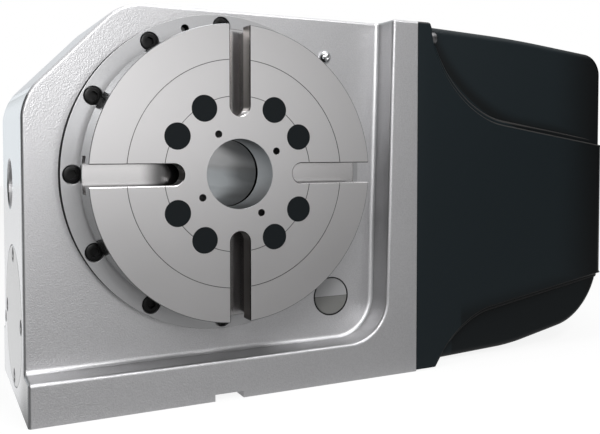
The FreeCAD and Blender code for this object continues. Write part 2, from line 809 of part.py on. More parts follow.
def make_gear(name, teeth, gap_angle, bore, z):
    body = new_body(name, "side", worm_y, z)
    slab(body, f"{name}_blank", gear_x, gear_far_x, rings(gear_module * (teeth / 2 + 1), bore))
    points = [(gear_module * x, gear_module * y) for x, y in involute_gap(teeth, gap_angle)]
    gap = sink(body, f"{name}_gap", gear_x, gear_far_x, shape(points))
    repeat(body, f"{name}_teeth", [gap], teeth)
    return keep(body)


def make_gears():
    make_gear("worm_gear", gear_teeth, math.pi / 2 + math.pi / gear_teeth, stub_radius, worm_z)
    make_gear("motor_pinion", pinion_teeth, -math.pi / 2, motor_shaft_radius, motor_z)
    nut = new_body("gear_nut", "side", worm_y, worm_z)

    def ring(sketch):
        hexes([(0, 0)], stub_radius + nut_wall)(sketch)
        circle(sketch, 0, 0, stub_radius)

    slab(nut, "gear_nut_hex", gear_far_x, gear_far_x + nut_thick, ring)
    keep(nut)


def make_brake():
    disc = new_body("brake_disc")
    slab(disc, "disc_ring", hub_far_y, disc_far_y, rings(disc_radius, spindle_body))
    sink(disc, "disc_holes", hub_far_y, disc_far_y, circles(disc_spots, hole_radius(small_screw)))
    sink(disc, "disc_wells", disc_far_y - disc_head, disc_far_y,
         circles(disc_spots, well_radius(small_screw)))
    keep(disc)
    cap_screws("disc_screws", small_screw, disc_spots, disc_far_y, wheel_far_y + hole_spare, head=disc_head)
    groove_far = cylinder_y + piston_groove
    cylinder = new_body("brake_cylinder")
    lip = rear_race - rear_lip
    revolve(cylinder, "cylinder_turn", [(lip, cylinder_y), (piston_inner, cylinder_y),
                                        (piston_inner, groove_far), (piston_outer, groove_far),
                                        (piston_outer, cylinder_y), (brake_radius, cylinder_y),
                                        (brake_radius, cylinder_far_y), (rear_race, cylinder_far_y),
                                        (rear_race, rear_race_y), (lip, rear_race_y)])
    sink(cylinder, "cylinder_port", groove_far, cylinder_far_y, circles(port_spot, port_hole))
    keep(cylinder)
    near = disc_far_y + piston_gap
    far = near + piston_long
    inner = piston_inner + run_fit
    outer = piston_outer - run_fit
    ring_near = near + (piston_long - seal_thick) / 2
    ring_far = ring_near + seal_thick
    outer_seat = outer - seal_depth
    inner_seat = inner + seal_depth
    turned_piece("brake_piston", [(inner, near), (outer, near), (outer, ring_near), (outer_seat, ring_near),
                                  (outer_seat, ring_far), (outer, ring_far), (outer, far), (inner, far),
                                  (inner, ring_far), (inner_seat, ring_far), (inner_seat, ring_near),
                                  (inner, ring_near)])
    seals = new_body("piston_seals")
    slab(seals, "outer_seal", ring_near, ring_far, rings(outer, outer_seat))
    slab(seals, "inner_seal", ring_near, ring_far, rings(inner_seat, inner))
    keep(seals)


def make_rear():
    inner_ring = new_body("rear_bearing_inner")
    slab(inner_ring, "rear_inner_ring", rear_race_y, rear_race_far_y, rings(rear_inner_race, rear_journal))
    keep(inner_ring)
    outer_ring = new_body("rear_bearing_outer")
    slab(outer_ring, "rear_outer_ring", rear_race_y, rear_race_far_y, rings(rear_race, rear_outer_race))
    keep(outer_ring)
    rollers = new_body("rear_bearing_rollers")
    rim = rear_width / 10
    spots = turned_spots((rear_inner_race + rear_outer_race) / 2, 18, 0)
    slab(rollers, "rear_rollers", rear_race_y + rim, rear_race_far_y - rim,
         circles(spots, rear_roller_size / 2 - run_fit))
    keep(rollers)
    nut = new_body("spindle_lock_nut")
    nut_radius = rear_inner_race + seal_thick
    nut_far = spindle_end_y - head_clear
    slab(nut, "lock_nut_ring", rear_race_far_y, nut_far, rings(nut_radius, rear_journal - hole_spare))
    notch = sink(nut, "lock_nut_notch", rear_race_far_y + hole_spare, nut_far,
                 box(rear_inner_race, nut_radius + hole_spare, -seal_thick, seal_thick))
    repeat(nut, "lock_nut_notches", [notch], 4)
    keep(nut)
    cover = new_body("rear_cover")
    revolve(cover, "rear_cover_turn", [(rear_race, rear_race_far_y), (rear_race, cylinder_far_y),
                                       (rear_cover_radius, cylinder_far_y), (rear_cover_radius, back_y),
                                       (rear_cover_bore, back_y), (rear_cover_bore, rear_race_far_y)])
    sink(cover, "rear_wells", back_y - mid_screw - head_clear, back_y,
         circles(rear_spots, well_radius(mid_screw)))
    sink(cover, "rear_holes", cylinder_far_y, back_y, circles(rear_spots, hole_radius(mid_screw)))
    sink(cover, "rear_port", cylinder_far_y, back_y, circles(port_spot, port_stem))
    keep(cover)
    cap_screws("rear_cover_screws", mid_screw, rear_spots, back_y - head_clear, cylinder_far_y - screw_bite)
    fitting = new_body("brake_fitting")
    slab(fitting, "fitting_stem", cylinder_far_y, back_y, circles(port_spot, port_stem))
    slab(fitting, "fitting_hex", back_y, back_y + port_hex, hexes(port_spot, port_stem * 1.5))
    sink(fitting, "fitting_bore", cylinder_far_y, back_y + port_hex, circles(port_spot, port_hole))
    keep(fitting)


def make_casting():
    body = new_body("casting")
    half_key = key_width / 2
    notch = [(left_x, base_z), (-half_key, base_z), (-half_key, base_z + key_height),
             (half_key, base_z + key_height), (half_key, base_z), (right_x, base_z)]
    slab(body, "housing", floor_y, back_y,
         shape([*notch, (right_x, top_z), (left_x + corner_cut, top_z), (left_x, top_z - corner_cut)]))
    slab(body, "frame", front_y, floor_y,
         shape([*notch, (right_x, top_z), (column_top_x, top_z), (column_foot_x, ledge_z),
                (left_x, ledge_z)]))
    slab(body, "heel", back_y, back_y + heel_depth,
         shape([*notch, (right_x, base_z + heel_height), (left_x, base_z + heel_height)]))
    upper = runs_deep(left_x + corner_cut, top_z)
    lower = runs_deep(left_x, top_z - corner_cut)
    round_edges(body, "corner_rounds", corner_round, lambda edge: upper(edge) or lower(edge))
    round_edges(body, "column_corner", column_round, runs_deep(column_foot_x, ledge_z))
    bottom = number(base_z) + 1 + number(key_height)
    frame = lies_at(front_y, lambda x, z: z > bottom)
    recess = lies_at(floor_y, lambda x, z: True)
    ledge_end = runs_deep(left_x, ledge_z)
    round_edges(body, "edges", edge_round, lambda edge: frame(edge) or recess(edge) or ledge_end(edge))
    chamber = wheel_tip + chamber_play
    land_y = hub_far_y - brake_gap
    sink(body, "race_seat", floor_y, race_far_y, circles([(0, 0)], seat_radius))
    sink(body, "wheel_chamber", race_far_y, land_y, circles([(0, 0)], chamber))
    sink(body, "brake_chamber", land_y, cylinder_far_y, circles([(0, 0)], brake_radius))
    sink(body, "rear_seat", cylinder_far_y, back_y, circles([(0, 0)], rear_cover_radius))
    worm_spot = [(worm_z, -worm_y)]
    left_inner = left_bearing_x + bearing_deep
    right_inner = right_bearing_x - bearing_deep
    cover_in = left_x + end_cover_thick
    sink_across(body, "worm_tunnel", left_inner, right_inner, circles(worm_spot, tunnel_radius))
    sink_across(body, "left_bearing_seat", left_x, left_inner, circles(worm_spot, bearing_outer))
    sink_across(body, "right_bearing_seat", right_inner, pocket_x, circles(worm_spot, bearing_outer))
    sink_across(body, "end_cover_seat", left_x, cover_in, circles(worm_spot, end_cover_radius))
    pinion_space = pinion_radius + gear_module + pocket_play
    wheel_space_radius = gear_radius + gear_module + pocket_play
    sink_across(body, "gear_pocket", pocket_x, right_x, circles(worm_spot, wheel_space_radius))
    sink_across(body, "pinion_pocket", pocket_x, right_x, circles([(motor_z, -worm_y)], pinion_space))
    sink_across(body, "pocket_neck", pocket_x, right_x,
                box(worm_z, motor_z, -worm_y - pinion_space, -worm_y + pinion_space))
    deep = screw_bite + hole_spare
    sink(body, "flange_taps", floor_y, floor_y + deep, circles(flange_spots, mid_screw / 2))
    sink(body, "rear_taps", cylinder_far_y - deep, cylinder_far_y, circles(rear_spots, mid_screw / 2))
    end_taps = [(worm_z + z, y - worm_y) for y, z in end_spots]
    sink_across(body, "end_taps", cover_in, cover_in + deep, circles(end_taps, small_screw / 2))
    mount_taps = [(z, y - worm_y) for y, z in mount_spots]
    sink_across(body, "mount_taps", right_x - deep, right_x, circles(mount_taps, mid_screw / 2))
    cover_taps = [(z, -y) for y in (cover_front_y, cover_rear_y) for z in (cover_upper_z, cover_lower_z)]
    sink_across(body, "cover_taps", right_x - deep, right_x, circles(cover_taps, small_screw / 2))
    glass_far = floor_y + glass_deep + hole_spare
    way_radius = glass_radius / 3
    way_spot = [(right_inner - way_radius - hole_spare, glass_z)]
    sink(body, "glass_well", floor_y, glass_far, circles([(glass_x, glass_z)], glass_radius))
    sink(body, "glass_way", glass_far, worm_y, circles(way_spot, way_radius))
    sink(body, "oiler_well", floor_y, floor_y + oiler_stem + hole_spare,
         circles([(oiler_x, oiler_z)], oiler_radius * 0.75))
    sink_across(body, "port_well", left_x, left_x + plug_depth, circles([(port_z, -port_y)], port_radius))
    sink_across(body, "drain_well", left_x, left_x + plug_depth, circles([(drain_z, -drain_y)], drain_radius))
    sketch = new_sketch(body, "eye_tap_sketch", plane="XZ_Plane", rise=-top_z)
    circle(sketch, 0, -worm_y, eye_radius)
    eye = body.newObject("PartDesign::Pocket", "eye_tap")
    eye.Profile = sketch
    eye.Reversed = True
    bind(eye, "Length", eye_depth)
    return keep(body)


def make_fittings():
    spot = [(glass_x, glass_z)]
    pane = glass_radius - glass_wall
    rim_y = floor_y - glass_proud
    step_far = floor_y + glass_deep / 3
    bezel = new_body("oil_glass_bezel")
    slab(bezel, "bezel_tube", rim_y, floor_y + glass_deep, circles(spot, glass_radius))
    sink(bezel, "bezel_bore", rim_y, floor_y + glass_deep, circles(spot, pane - glass_seat))
    sink(bezel, "bezel_step", rim_y, step_far, circles(spot, pane))
    keep(bezel)
    lens = new_body("oil_glass_lens")
    slab(lens, "lens_disc", floor_y - glass_proud / 2, step_far, circles(spot, pane))
    keep(lens)
    oiler = new_body("ball_oiler")
    spot = [(oiler_x, oiler_z)]
    slab(oiler, "oiler_shank", floor_y, floor_y + oiler_stem, circles(spot, oiler_radius * 0.75))
    dome_y = floor_y - oiler_radius * 0.9
    slab(oiler, "oiler_dome", dome_y, floor_y, circles(spot, oiler_radius))
    round_edges(oiler, "oiler_round", oiler_radius * 0.85, lies_at(dome_y, lambda x, z: True))
    keep(oiler)
    plug_near = left_x + plug_set_in
    plug_far = left_x + plug_depth
    half_way = (plug_near + plug_far) / 2
    port = new_body("side_port_plug", "side", port_y, port_z)
    slab(port, "port_disc", plug_near, plug_far, circles([(0, 0)], port_radius))
    sink(port, "port_socket", plug_near, half_way, hexes([(0, 0)], port_radius * 0.4))
    keep(port)
    drain = new_body("drain_plug", "side", drain_y, drain_z)
    slab(drain, "drain_disc", plug_near, plug_far, circles([(0, 0)], drain_radius))
    sink(drain, "drain_socket", plug_near, half_way, hexes([(0, 0)], drain_radius * 0.55))
    keep(drain)


def make_motor():
    plate = new_body("motor_mount", "side", worm_y, 0)
    slab(plate, "mount_plate", right_x, mount_far_x, box(-mount_half, mount_half, mount_low, mount_top))
    sink(plate, "mount_pilot", right_x, mount_far_x, circles([(0, motor_z)], motor_pilot))
    sink(plate, "mount_holes", right_x, mount_far_x, circles(mount_spots, hole_radius(mid_screw)))
    motor_taps = [(y, motor_z + z) for y, z in motor_spots]
    sink(plate, "motor_taps", right_x, mount_far_x, circles(motor_taps, mid_screw / 2))
    keep(plate)
    cap_screws("mount_screws", mid_screw, mount_spots, mount_far_x + mid_screw, right_x - screw_bite, "side",
               worm_y, 0)
    half = motor_size / 2
    slim = half * 0.95
    cut = half * 0.35
    small = half * 0.8
    flange_far = mount_far_x + motor_flange
    body_far = flange_far + motor_length
    encoder_far = body_far + encoder_length
    pilot_x = mount_far_x - mount_thick / 2
    body = new_body("motor_body", "side", worm_y, motor_z)
    slab(body, "motor_pilot_boss", pilot_x, mount_far_x, circles([(0, 0)], motor_pilot))
    slab(body, "motor_flange", mount_far_x, flange_far, box(-half, half, -half, half))
    slab(body, "motor_frame", flange_far, body_far,
         shape([(-slim, -cut), (-cut, -slim), (cut, -slim), (slim, -cut), (slim, cut), (cut, slim),
                (-cut, slim), (-slim, cut)]))
    sink(body, "motor_shaft_way", pilot_x, flange_far, circles([(0, 0)], motor_shaft_radius + head_clear))
    sink(body, "motor_holes", mount_far_x, flange_far, circles(motor_spots, hole_radius(mid_screw)))
    keep(body)
    cap_screws("motor_screws", mid_screw, motor_spots, flange_far + mid_screw, right_x + head_clear, "side",
               worm_y, motor_z)
    encoder = new_body("motor_encoder", "side", worm_y, motor_z)
    slab(encoder, "encoder_box", body_far, encoder_far, box(-small, small, -small, small))
    keep(encoder)
    plugs = new_body("motor_connectors", "side", worm_y, motor_z)
    plug_wide = half * 0.28
    plug_tall = half * 0.4
    slab(plugs, "power_plug", body_far - motor_length * 0.4, body_far - motor_length * 0.1,
         box(-plug_wide, plug_wide, slim, slim + plug_tall))
    slab(plugs, "encoder_plug", body_far + encoder_length * 0.2, encoder_far - encoder_length * 0.2,
         box(-plug_wide, plug_wide, small, small + plug_tall))
    keep(plugs)
    shaft = new_body("motor_shaft", "side", worm_y, motor_z)
    slab(shaft, "shaft_rod", gear_x - hole_spare, flange_far - hole_spare,
         circles([(0, 0)], motor_shaft_radius))
    keep(shaft)


def cover_shell(body, inset):
    # the slim main volume of the cover, its top and bottom closing in towards the rounded end
    name = body.Label
    end_x = cover_end_x - inset
    near_x = right_x - inset
    high = top_z - inset
    low = cover_low_z + inset
    near = front_y + cover_set_back + inset
    far = cover_far_y - cover_back_step - inset
    end_high = high - (cover_end_x - cover_flange_x) * shell_draft
    knee_x = cover_end_x - cover_knee
    end_low = low + cover_lift
    slab(body, f"{name}_shell", near, far,
         shape([(near_x, low), (cover_flange_x, low), (knee_x, low + cover_lift / 6), (end_x, end_low),
                (end_x, end_high), (knee_x, high - cover_knee_drop), (cover_flange_x, high), (near_x, high)]))
    round_edges(body, f"{name}_top_corner", cover_top_round - inset, runs_deep(end_x, end_high))
    round_edges(body, f"{name}_low_corner", cover_low_round - inset, runs_deep(end_x, end_low))
    beyond = number(cover_flange_x) + 1
    for side, depth in (("front", near), ("rear", far)):
        round_edges(body, f"{name}_{side}_edge", cover_end_round - inset / 2,
                    lies_at(depth, lambda x, z: x > beyond))


def cover_belt(body, inset, low_start, high_start):
    # the raised belt round the shell, between two curved steps, its sides drawn in towards the end
    name = body.Label
    end_x = cover_end_x + belt_overhang - inset
    upper = (right_x + belt_upper_run - inset * 0.81, top_z - belt_upper_drop - inset * 0.9)
    lower = (right_x + belt_lower_run - inset * 0.58, cover_low_z + belt_lower_rise + inset * 0.93)
    upper_end = upper[1] - (end_x - upper[0]) * belt_slope
    lower_end = lower[1] + (end_x - lower[0]) * belt_slope
    near = front_y + inset
    far = cover_far_y - inset
    slab(body, f"{name}_belt", near, far,
         shape([*low_start, lower, (end_x, lower_end), (end_x, upper_end), upper, *high_start]))
    round_edges(body, f"{name}_upper_step", belt_upper_round + inset, runs_deep(*upper))
    round_edges(body, f"{name}_lower_step", belt_lower_round + inset, runs_deep(*lower))
    run = end_x - cover_flange_x + cover_wall
    drop = run * belt_draft
    over = top_z + cover_wall
    skim = cover_wall / 2
    for side, edge, way in (("front", near, 1), ("rear", far, -1)):
        sketch = new_sketch(body, f"{name}_{side}_draft_sketch", plane="XZ_Plane", rise=-over)
        polygon(sketch, [(cover_flange_x, -edge), (cover_flange_x + run, -edge - drop * way),
                         (cover_flange_x + run, -edge + skim * way), (cover_flange_x, -edge + skim * way)])
        trim = body.newObject("PartDesign::Pocket", f"{name}_{side}_draft")
        trim.Profile = sketch
        trim.Reversed = True
        bind(trim, "Length", over - base_z)
    round_edges(body, f"{name}_end", belt_end_round - inset, stands_at(end_x))


def join(kind, name, base, tool):
    result = doc.addObject(kind, name)
    result.Label = name
    result.Base = base
    result.Tool = tool
    return result


def cover_volume(name, inset, low_start, high_start):
    shell = new_body(f"{name}_shell")
    cover_shell(shell, inset)
    belt = new_body(f"{name}_belt")
    cover_belt(belt, inset, low_start, high_start)
    return join("Part::Fuse", name, shell, belt)


def make_cover():
    belt_start = right_x + belt_lower_run - belt_lower_lead
    outside = cover_volume("cover_outside", Size(0, "0"), [(right_x, cover_low_z), (belt_start, cover_low_z)],
                           [(cover_flange_x, top_z), (right_x, top_z)])
    inside = cover_volume("cover_inside", cover_wall,
                          [(cover_flange_x, cover_low_z + belt_lower_rise + cover_wall)],
                          [(cover_flange_x, top_z - belt_upper_drop - cover_wall)])
    spots = [(-y, z) for y in (cover_front_y, cover_rear_y) for z in (cover_upper_z, cover_lower_z)]
    wells = new_body("cover_wells", "side")
    slab(wells, "cover_well_bores", cover_seat_x, cover_seat_x + small_screw * 6,
         circles(spots, well_radius(small_screw) + head_clear))
    slab(wells, "cover_well_holes", right_x, cover_seat_x, circles(spots, hole_radius(small_screw)))
    hollow = join("Part::Cut", "cover_hollow", outside, inside)
    keep(join("Part::Cut", "motor_cover", hollow, wells))
    cap_screws("cover_screws", small_screw, spots, cover_seat_x + small_screw, right_x - screw_bite, "side")


make_faceplate()
make_faceplate_fixings()
make_spindle()
make_flange()
make_bearing()
make_worm_wheel()
make_worm()
make_worm_bearings()
make_gears()
make_brake()
make_rear()
make_casting()
make_fittings()
make_motor()
make_cover()
doc.recompute()

for item in doc.Objects:
    if "Invalid" in item.State or "Error" in item.State:
        raise RuntimeError(f"{item.Label} did not build: {item.State}")
for piece in pieces:
    if piece.Shape.isNull() or not piece.Shape.isValid():
        raise RuntimeError(f"{piece.Label} has no valid shape")
    piece.Shape.exportStep(f"parts/{piece.Label}.step")
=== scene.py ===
import json
import math

import bmesh
import bpy
from mathutils import Matrix, Vector


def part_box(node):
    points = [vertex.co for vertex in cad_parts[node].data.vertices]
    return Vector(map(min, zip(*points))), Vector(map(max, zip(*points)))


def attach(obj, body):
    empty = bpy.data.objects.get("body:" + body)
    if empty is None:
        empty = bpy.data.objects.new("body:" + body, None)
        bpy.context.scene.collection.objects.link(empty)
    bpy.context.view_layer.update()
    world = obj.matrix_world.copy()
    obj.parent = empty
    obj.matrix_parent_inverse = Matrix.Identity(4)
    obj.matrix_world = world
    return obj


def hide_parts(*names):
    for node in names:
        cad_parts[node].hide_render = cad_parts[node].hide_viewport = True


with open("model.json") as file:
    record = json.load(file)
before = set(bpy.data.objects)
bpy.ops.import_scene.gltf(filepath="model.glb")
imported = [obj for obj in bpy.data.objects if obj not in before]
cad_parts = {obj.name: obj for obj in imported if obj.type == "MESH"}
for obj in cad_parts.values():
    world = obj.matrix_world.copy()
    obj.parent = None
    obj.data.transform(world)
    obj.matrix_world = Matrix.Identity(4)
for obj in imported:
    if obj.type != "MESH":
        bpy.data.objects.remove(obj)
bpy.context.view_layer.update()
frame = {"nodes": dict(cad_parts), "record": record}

mm = 0.001  # pieces are drawn in millimetres and scaled once
axes = {"X": Vector((1, 0, 0)), "Y": Vector((0, 1, 0))}
widestRound = 8.0  # edge rounds are shares of this width
leastTurn = 0.5  # edges that turn by less, in radians, stay as they are
hair = 0.001  # distances that count as none
overCut = 1.0  # how far a cutter reaches past a face
recessFloor = 37.5  # the casting's recess, which carries the flange and the small fittings
wormY, wormZ = 85.0, -86.5  # the worm's axis
print("frame loaded")


# Small modelling helpers

def span(node):  # a node's corners in millimetres
    low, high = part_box(node)
    return low / mm, high / mm


def nodeSpot(node, axis):  # middle of a node, seen along an axis
    low, high = span(node)
    middle = (low + high) / 2
    return (middle.x if axis == "Y" else middle.y, middle.z)


def spotOn(axis, across, up, depth):  # a point given as it is seen along an axis
    return Vector((across, depth, up)) if axis == "Y" else Vector((depth, across, up))


def ringOf(radius, count, start=0.0):  # evenly spaced spots round the middle
    turns = [math.radians(start + 360 * i / count) for i in range(count)]
    return [(radius * math.cos(turn), radius * math.sin(turn)) for turn in turns]


def vertsIn(geom):
    return [part for part in geom if isinstance(part, bmesh.types.BMVert)]


def swing(bm, degrees, axis):  # turns a mesh about an axis through the origin
    turn = Matrix.Rotation(math.radians(degrees), 3, axis)
    bmesh.ops.rotate(bm, cent=(0, 0, 0), matrix=turn, verts=bm.verts)


def roundCorners(bm, verts, rounds, parts):  # rounds gives a radius to some of an outline's corners
    for index, radius in rounds.items():
        corner = verts[index]
        arms = [(edge.other_vert(corner).co - corner.co) for edge in corner.link_edges]
        reach = radius / math.tan(arms[0].angle(arms[1]) / 2)
        bmesh.ops.bevel(bm, geom=[corner], offset=reach, offset_type="OFFSET", affect="VERTICES",
                        segments=parts, profile=0.5, material=-1)


def slab(outline, low, high, rounds={}, axis="Y", parts=14):  # outline pushed from low to high
    bm = bmesh.new()
    verts = [bm.verts.new(spotOn(axis, a, b, low)) for a, b in outline]
    bm.faces.new(verts)
    roundCorners(bm, verts, rounds, parts)
    grown = bmesh.ops.extrude_face_region(bm, geom=bm.faces[:])["geom"]
    bmesh.ops.translate(bm, vec=axes[axis] * (high - low), verts=vertsIn(grown))
    bmesh.ops.recalc_face_normals(bm, faces=bm.faces)
    return bm


def rod(radius, low, high):  # a plain cylinder's profile
    return [(0, low), (radius, low), (radius, high), (0, high)]


def turned(profile, axis="Y", spot=(0, 0), steps=96):  # profile of (radius, depth) spun round its axis
    bm = bmesh.new()
    verts = [bm.verts.new((r, depth, 0) if axis == "Y" else (depth, r, 0)) for r, depth in profile]
    pairs = list(zip(verts, verts[1:]))
    if profile[0][0] > 0:  # a ring's profile goes back to its start
        pairs.append((verts[-1], verts[0]))
    edges = [bm.edges.new(pair) for pair in pairs]
    bmesh.ops.spin(bm, geom=verts + edges, cent=(0, 0, 0), axis=axes[axis], angle=math.tau, steps=steps,
                   use_merge=True)
    bmesh.ops.remove_doubles(bm, verts=bm.verts, dist=1e-4)
    bmesh.ops.recalc_face_normals(bm, faces=bm.faces)
    bmesh.ops.translate(bm, vec=spotOn(axis, *spot, 0), verts=bm.verts)
    return bm


def joined(parts):  # several meshes as one
    whole = parts[0]
    for part in parts[1:]:
        carrier = bpy.data.meshes.new("carrier")
        part.to_mesh(carrier)
        part.free()
        whole.from_mesh(carrier)
        bpy.data.meshes.remove(carrier)
    return whole


def holeCutter(spot, radius, near, far, chamfer=0.0, axis="Y", steps=48):  # eased at its near end
    way = 1 if far > near else -1
    over = near - way * overCut
    mouth = radius + chamfer + overCut if chamfer else radius
    profile = [(0, over), (mouth, over), (radius, near + way * chamfer), (radius, far), (0, far)]
    return turned(profile, axis, spot, steps)


def holes(spots, *sizes, **kinds):  # the same hole at several spots, as one cutter
    return joined([holeCutter(spot, *sizes, **kinds) for spot in spots])


def screwHoles(spots, sizes, face, far, axis="Y"):  # wells for the heads and ways for the threads
    floor = face + sizes["wellDepth"] * (1 if far > face else -1)
    wells = holes(spots, sizes["wellRadius"], face, floor, sizes["wellEase"], axis)
    return [wells, holes(spots, sizes["wayRadius"], face, far, 0.0, axis)]


def soften(bm, radius, test):  # marks edges for the bevel that follows
    weights = bm.edges.layers.float
    layer = weights.get("bevel_weight_edge") or weights.new("bevel_weight_edge")
    for edge in bm.edges:
        if len(edge.link_faces) == 2 and edge.calc_face_angle() > leastTurn and test(edge):
            edge[layer] = radius / widestRound


def allAt(edge, part, value):  # both ends lie on a plane
    return all(abs(v.co[part] - value) < 0.01 for v in edge.verts)


def placed(name, data):
    made = bpy.data.objects.new(name, data)
    bpy.context.scene.collection.objects.link(made)
    return made


def toObject(bm, name):
    bmesh.ops.scale(bm, vec=(mm, mm, mm), verts=bm.verts)
    mesh = bpy.data.meshes.new(name)
    bm.to_mesh(mesh)
    bm.free()
    return placed(name, mesh)


def shaped(piece, cutters=(), added=(), rounded=False, parts=5):  # bevel, joins and cuts, made final
    if rounded:
        edges = piece.modifiers.new("edges", "BEVEL")
        edges.limit_method = "WEIGHT"
        edges.width = widestRound * mm
        edges.segments = parts
        edges.profile = 0.5
        edges.use_clamp_overlap = False
    tools = [("UNION", tool) for tool in added] + [("DIFFERENCE", tool) for tool in cutters]
    helpers = []
    for operation, tool in tools:
        helper = tool if isinstance(tool, bpy.types.Object) else toObject(tool, "helper")
        step = piece.modifiers.new("step", "BOOLEAN")
        step.operation = operation
        step.solver = "EXACT"
        step.object = helper
        helpers.append(helper)
    graph = bpy.context.evaluated_depsgraph_get()
    final = bpy.data.meshes.new_from_object(piece.evaluated_get(graph))
    piece.modifiers.clear()
    piece.data = final
    for helper in helpers:
        bpy.data.objects.remove(helper)
    return piece


def dress(piece, body, slot, *nodes, even=True):  # body, the slot's finish and shading
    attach(piece, body)
    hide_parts(*nodes)
    piece.data.materials.clear()
    piece.data.materials.append(finishes[slot])
    piece.data.shade_smooth()
    piece.data.set_sharp_from_angle(angle=math.radians(32))
    if even:
        shading = piece.modifiers.new("shading", "WEIGHTED_NORMAL")
        shading.keep_sharp = True


# Finishes

class Wire:  # one socket of a finish, with sums written as Python
    def __init__(self, tree, socket=None):
        self.tree = tree
        self.socket = socket

    def node(self, kind, settings={}, links={}, out=0):
        made = self.tree.nodes.new("ShaderNode" + kind)
        for name, value in settings.items():
            setattr(made, name, value)
        for name, value in links.items():
            if isinstance(value, Wire):
                self.tree.links.new(value.socket, made.inputs[name])
            else:
                made.inputs[name].default_value = value
        return Wire(self.tree, made.outputs[out])

    def sum(self, operation, first, second):
        return self.node("Math", {"operation": operation}, {0: first, 1: second})

    def __add__(self, other):
        return self.sum("ADD", self, other)

    def __radd__(self, other):
        return self.sum("ADD", other, self)

    def __sub__(self, other):
        return self.sum("SUBTRACT", self, other)

    def __rsub__(self, other):
        return self.sum("SUBTRACT", other, self)

    def __mul__(self, other):
        return self.sum("MULTIPLY", self, other)

    def __rmul__(self, other):
        return self.sum("MULTIPLY", other, self)

    def __gt__(self, other):
        return self.sum("GREATER_THAN", self, other)

    def __lt__(self, other):  # also answers number > wire
        return self.sum("LESS_THAN", self, other)

    def feeds(self, socket):
        self.tree.links.new(self.socket, socket)


finishes = {}


def newFinish(slot, plain):
    material = bpy.data.materials.new(slot)
    material.use_nodes = True
    tree = material.node_tree
    shader = tree.nodes["Principled BSDF"]
    for name, value in plain.items():
        shader.inputs[name].default_value = value
    place = Wire(tree).node("TexCoord", out="Object")
    finishes[slot] = material
    return shader.inputs, place


def facingOf(place):  # which way the surface looks
    return place.node("TexCoord", out="Normal")


def grain(place, scale, detail=2.0):  # plain noise, 0 to 1
    return place.node("TexNoise", links={"Vector": place, "Scale": scale, "Detail": detail}, out="Fac")


def between(share, first, second):  # two colours mixed, each written out or wired
    pair = [colour if isinstance(colour, Wire) else (*colour, 1) for colour in (first, second)]
    return share.node("Mix", {"data_type": "RGBA"}, {0: share, 6: pair[0], 7: pair[1]}, out=2)  # colours


def stained(under, share, colour):  # one colour over another
    return between(share, under, colour)


def times(colour, share):  # a written colour made darker or paler
    return [part * share for part in colour]


def higher(first, second):  # the larger of two values
    return first.sum("MAXIMUM", first, second)


def relief(height, strength, depth):
    return height.node("Bump", {}, {"Height": height, "Strength": strength, "Distance": depth})


def vectors(operation, first, second):
    return first.node("VectorMath", {"operation": operation}, {0: first, 1: second})


def farFrom(place, axis, centre=(0, 0, 0)):  # distance from an axis through the centre
    keep = (0, 1, 1) if axis == "X" else (1, 0, 1)
    flat = vectors("MULTIPLY", vectors("SUBTRACT", place, centre), keep)
    return flat.node("VectorMath", {"operation": "LENGTH"}, {0: flat}, out="Value")


def along(place, axis):
    return place.node("SeparateXYZ", {}, {"Vector": place}, out=axis)


def within(value, low, high):  # 1 between the two limits
    return (value > low) * (high > value)


def band(value, low, high):  # the same with limits in millimetres
    return within(value, low * mm, high * mm)


def slope(value, low, high):  # a soft step from 0 at low to 1 at high
    return value.node("MapRange", {"interpolation_type": "SMOOTHSTEP"},
                      {"Value": value, "From Min": low, "From Max": high})


def fade(value, low, high):  # the same with limits in millimetres
    return slope(value, low * mm, high * mm)


def toolMarks(place, axis, density, centre=(0, 0, 0)):  # fine rings left by a turning tool
    turns = farFrom(place, axis, centre) * density
    return place.node("TexNoise", {"noise_dimensions": "1D"},
                      {"W": turns, "Scale": 1.0, "Detail": 3.0, "Roughness": 0.6}, out="Fac")


leftSide = -108.0  # paint further left than this is on the machined left face


def paintFinish(slot, colour, paler, rough, flake, peel, depth, paintedLight):  # silver paint with a fine grain, and light and shade painted on by the last argument
    inputs, place = newFinish(slot, {"Metallic": flake, "Specular IOR Level": 0.4})
    skin = grain(place, peel, 1.0)
    patch = grain(place, 9.0)
    facing = facingOf(place)
    smooth = (along(facing, "X") * -1.0 > 0.7) * (leftSide * mm > along(place, "X"))
    colours = between(patch * 0.3 + skin * 0.7, colour, paler)
    colours, paintedShade = paintedLight(colours, place, facing, smooth)  # the function paints light and shade; the second value marks painted shade, which is also made rougher
    colours.feeds(inputs["Base Color"])
    (rough + (skin - 0.5) * 0.1 - smooth * 0.2 + paintedShade * 0.5).feeds(inputs["Roughness"])
    relief(skin * (1 - smooth), 0.7, depth).feeds(inputs["Normal"])


def metalFinish(slot, colour, paler, rough, axis, density, depth, centre=(0, 0, 0)):  # turned metal
    inputs, place = newFinish(slot, {"Metallic": 1.0})
    marks = toolMarks(place, axis, density, centre)
    patch = grain(place, 22.0)
    between(patch * 0.6 + marks * 0.4, colour, paler).feeds(inputs["Base Color"])
    (rough + (marks - 0.5) * 0.14 + (patch - 0.5) * 0.06).feeds(inputs["Roughness"])
    relief(marks, 0.25, depth).feeds(inputs["Normal"])


def darkFinish(slot, colour, paler, rough, gloss, scale, depth, paintedLight=None):  # plastic, rubber, oxide; the last argument, where given, paints light and shade on
    inputs, place = newFinish(slot, {"Metallic": 0.0, "Specular IOR Level": gloss})
    speck = grain(place, scale)
    patch = grain(place, 12.0)
    colours = between(patch * 0.5 + speck * 0.5, colour, paler)
    if paintedLight:
        colours = paintedLight(colours, place)
    colours.feeds(inputs["Base Color"])
    (rough + (speck - 0.5) * 0.16).feeds(inputs["Roughness"])
    relief(speck, 0.3, depth).feeds(inputs["Normal"])


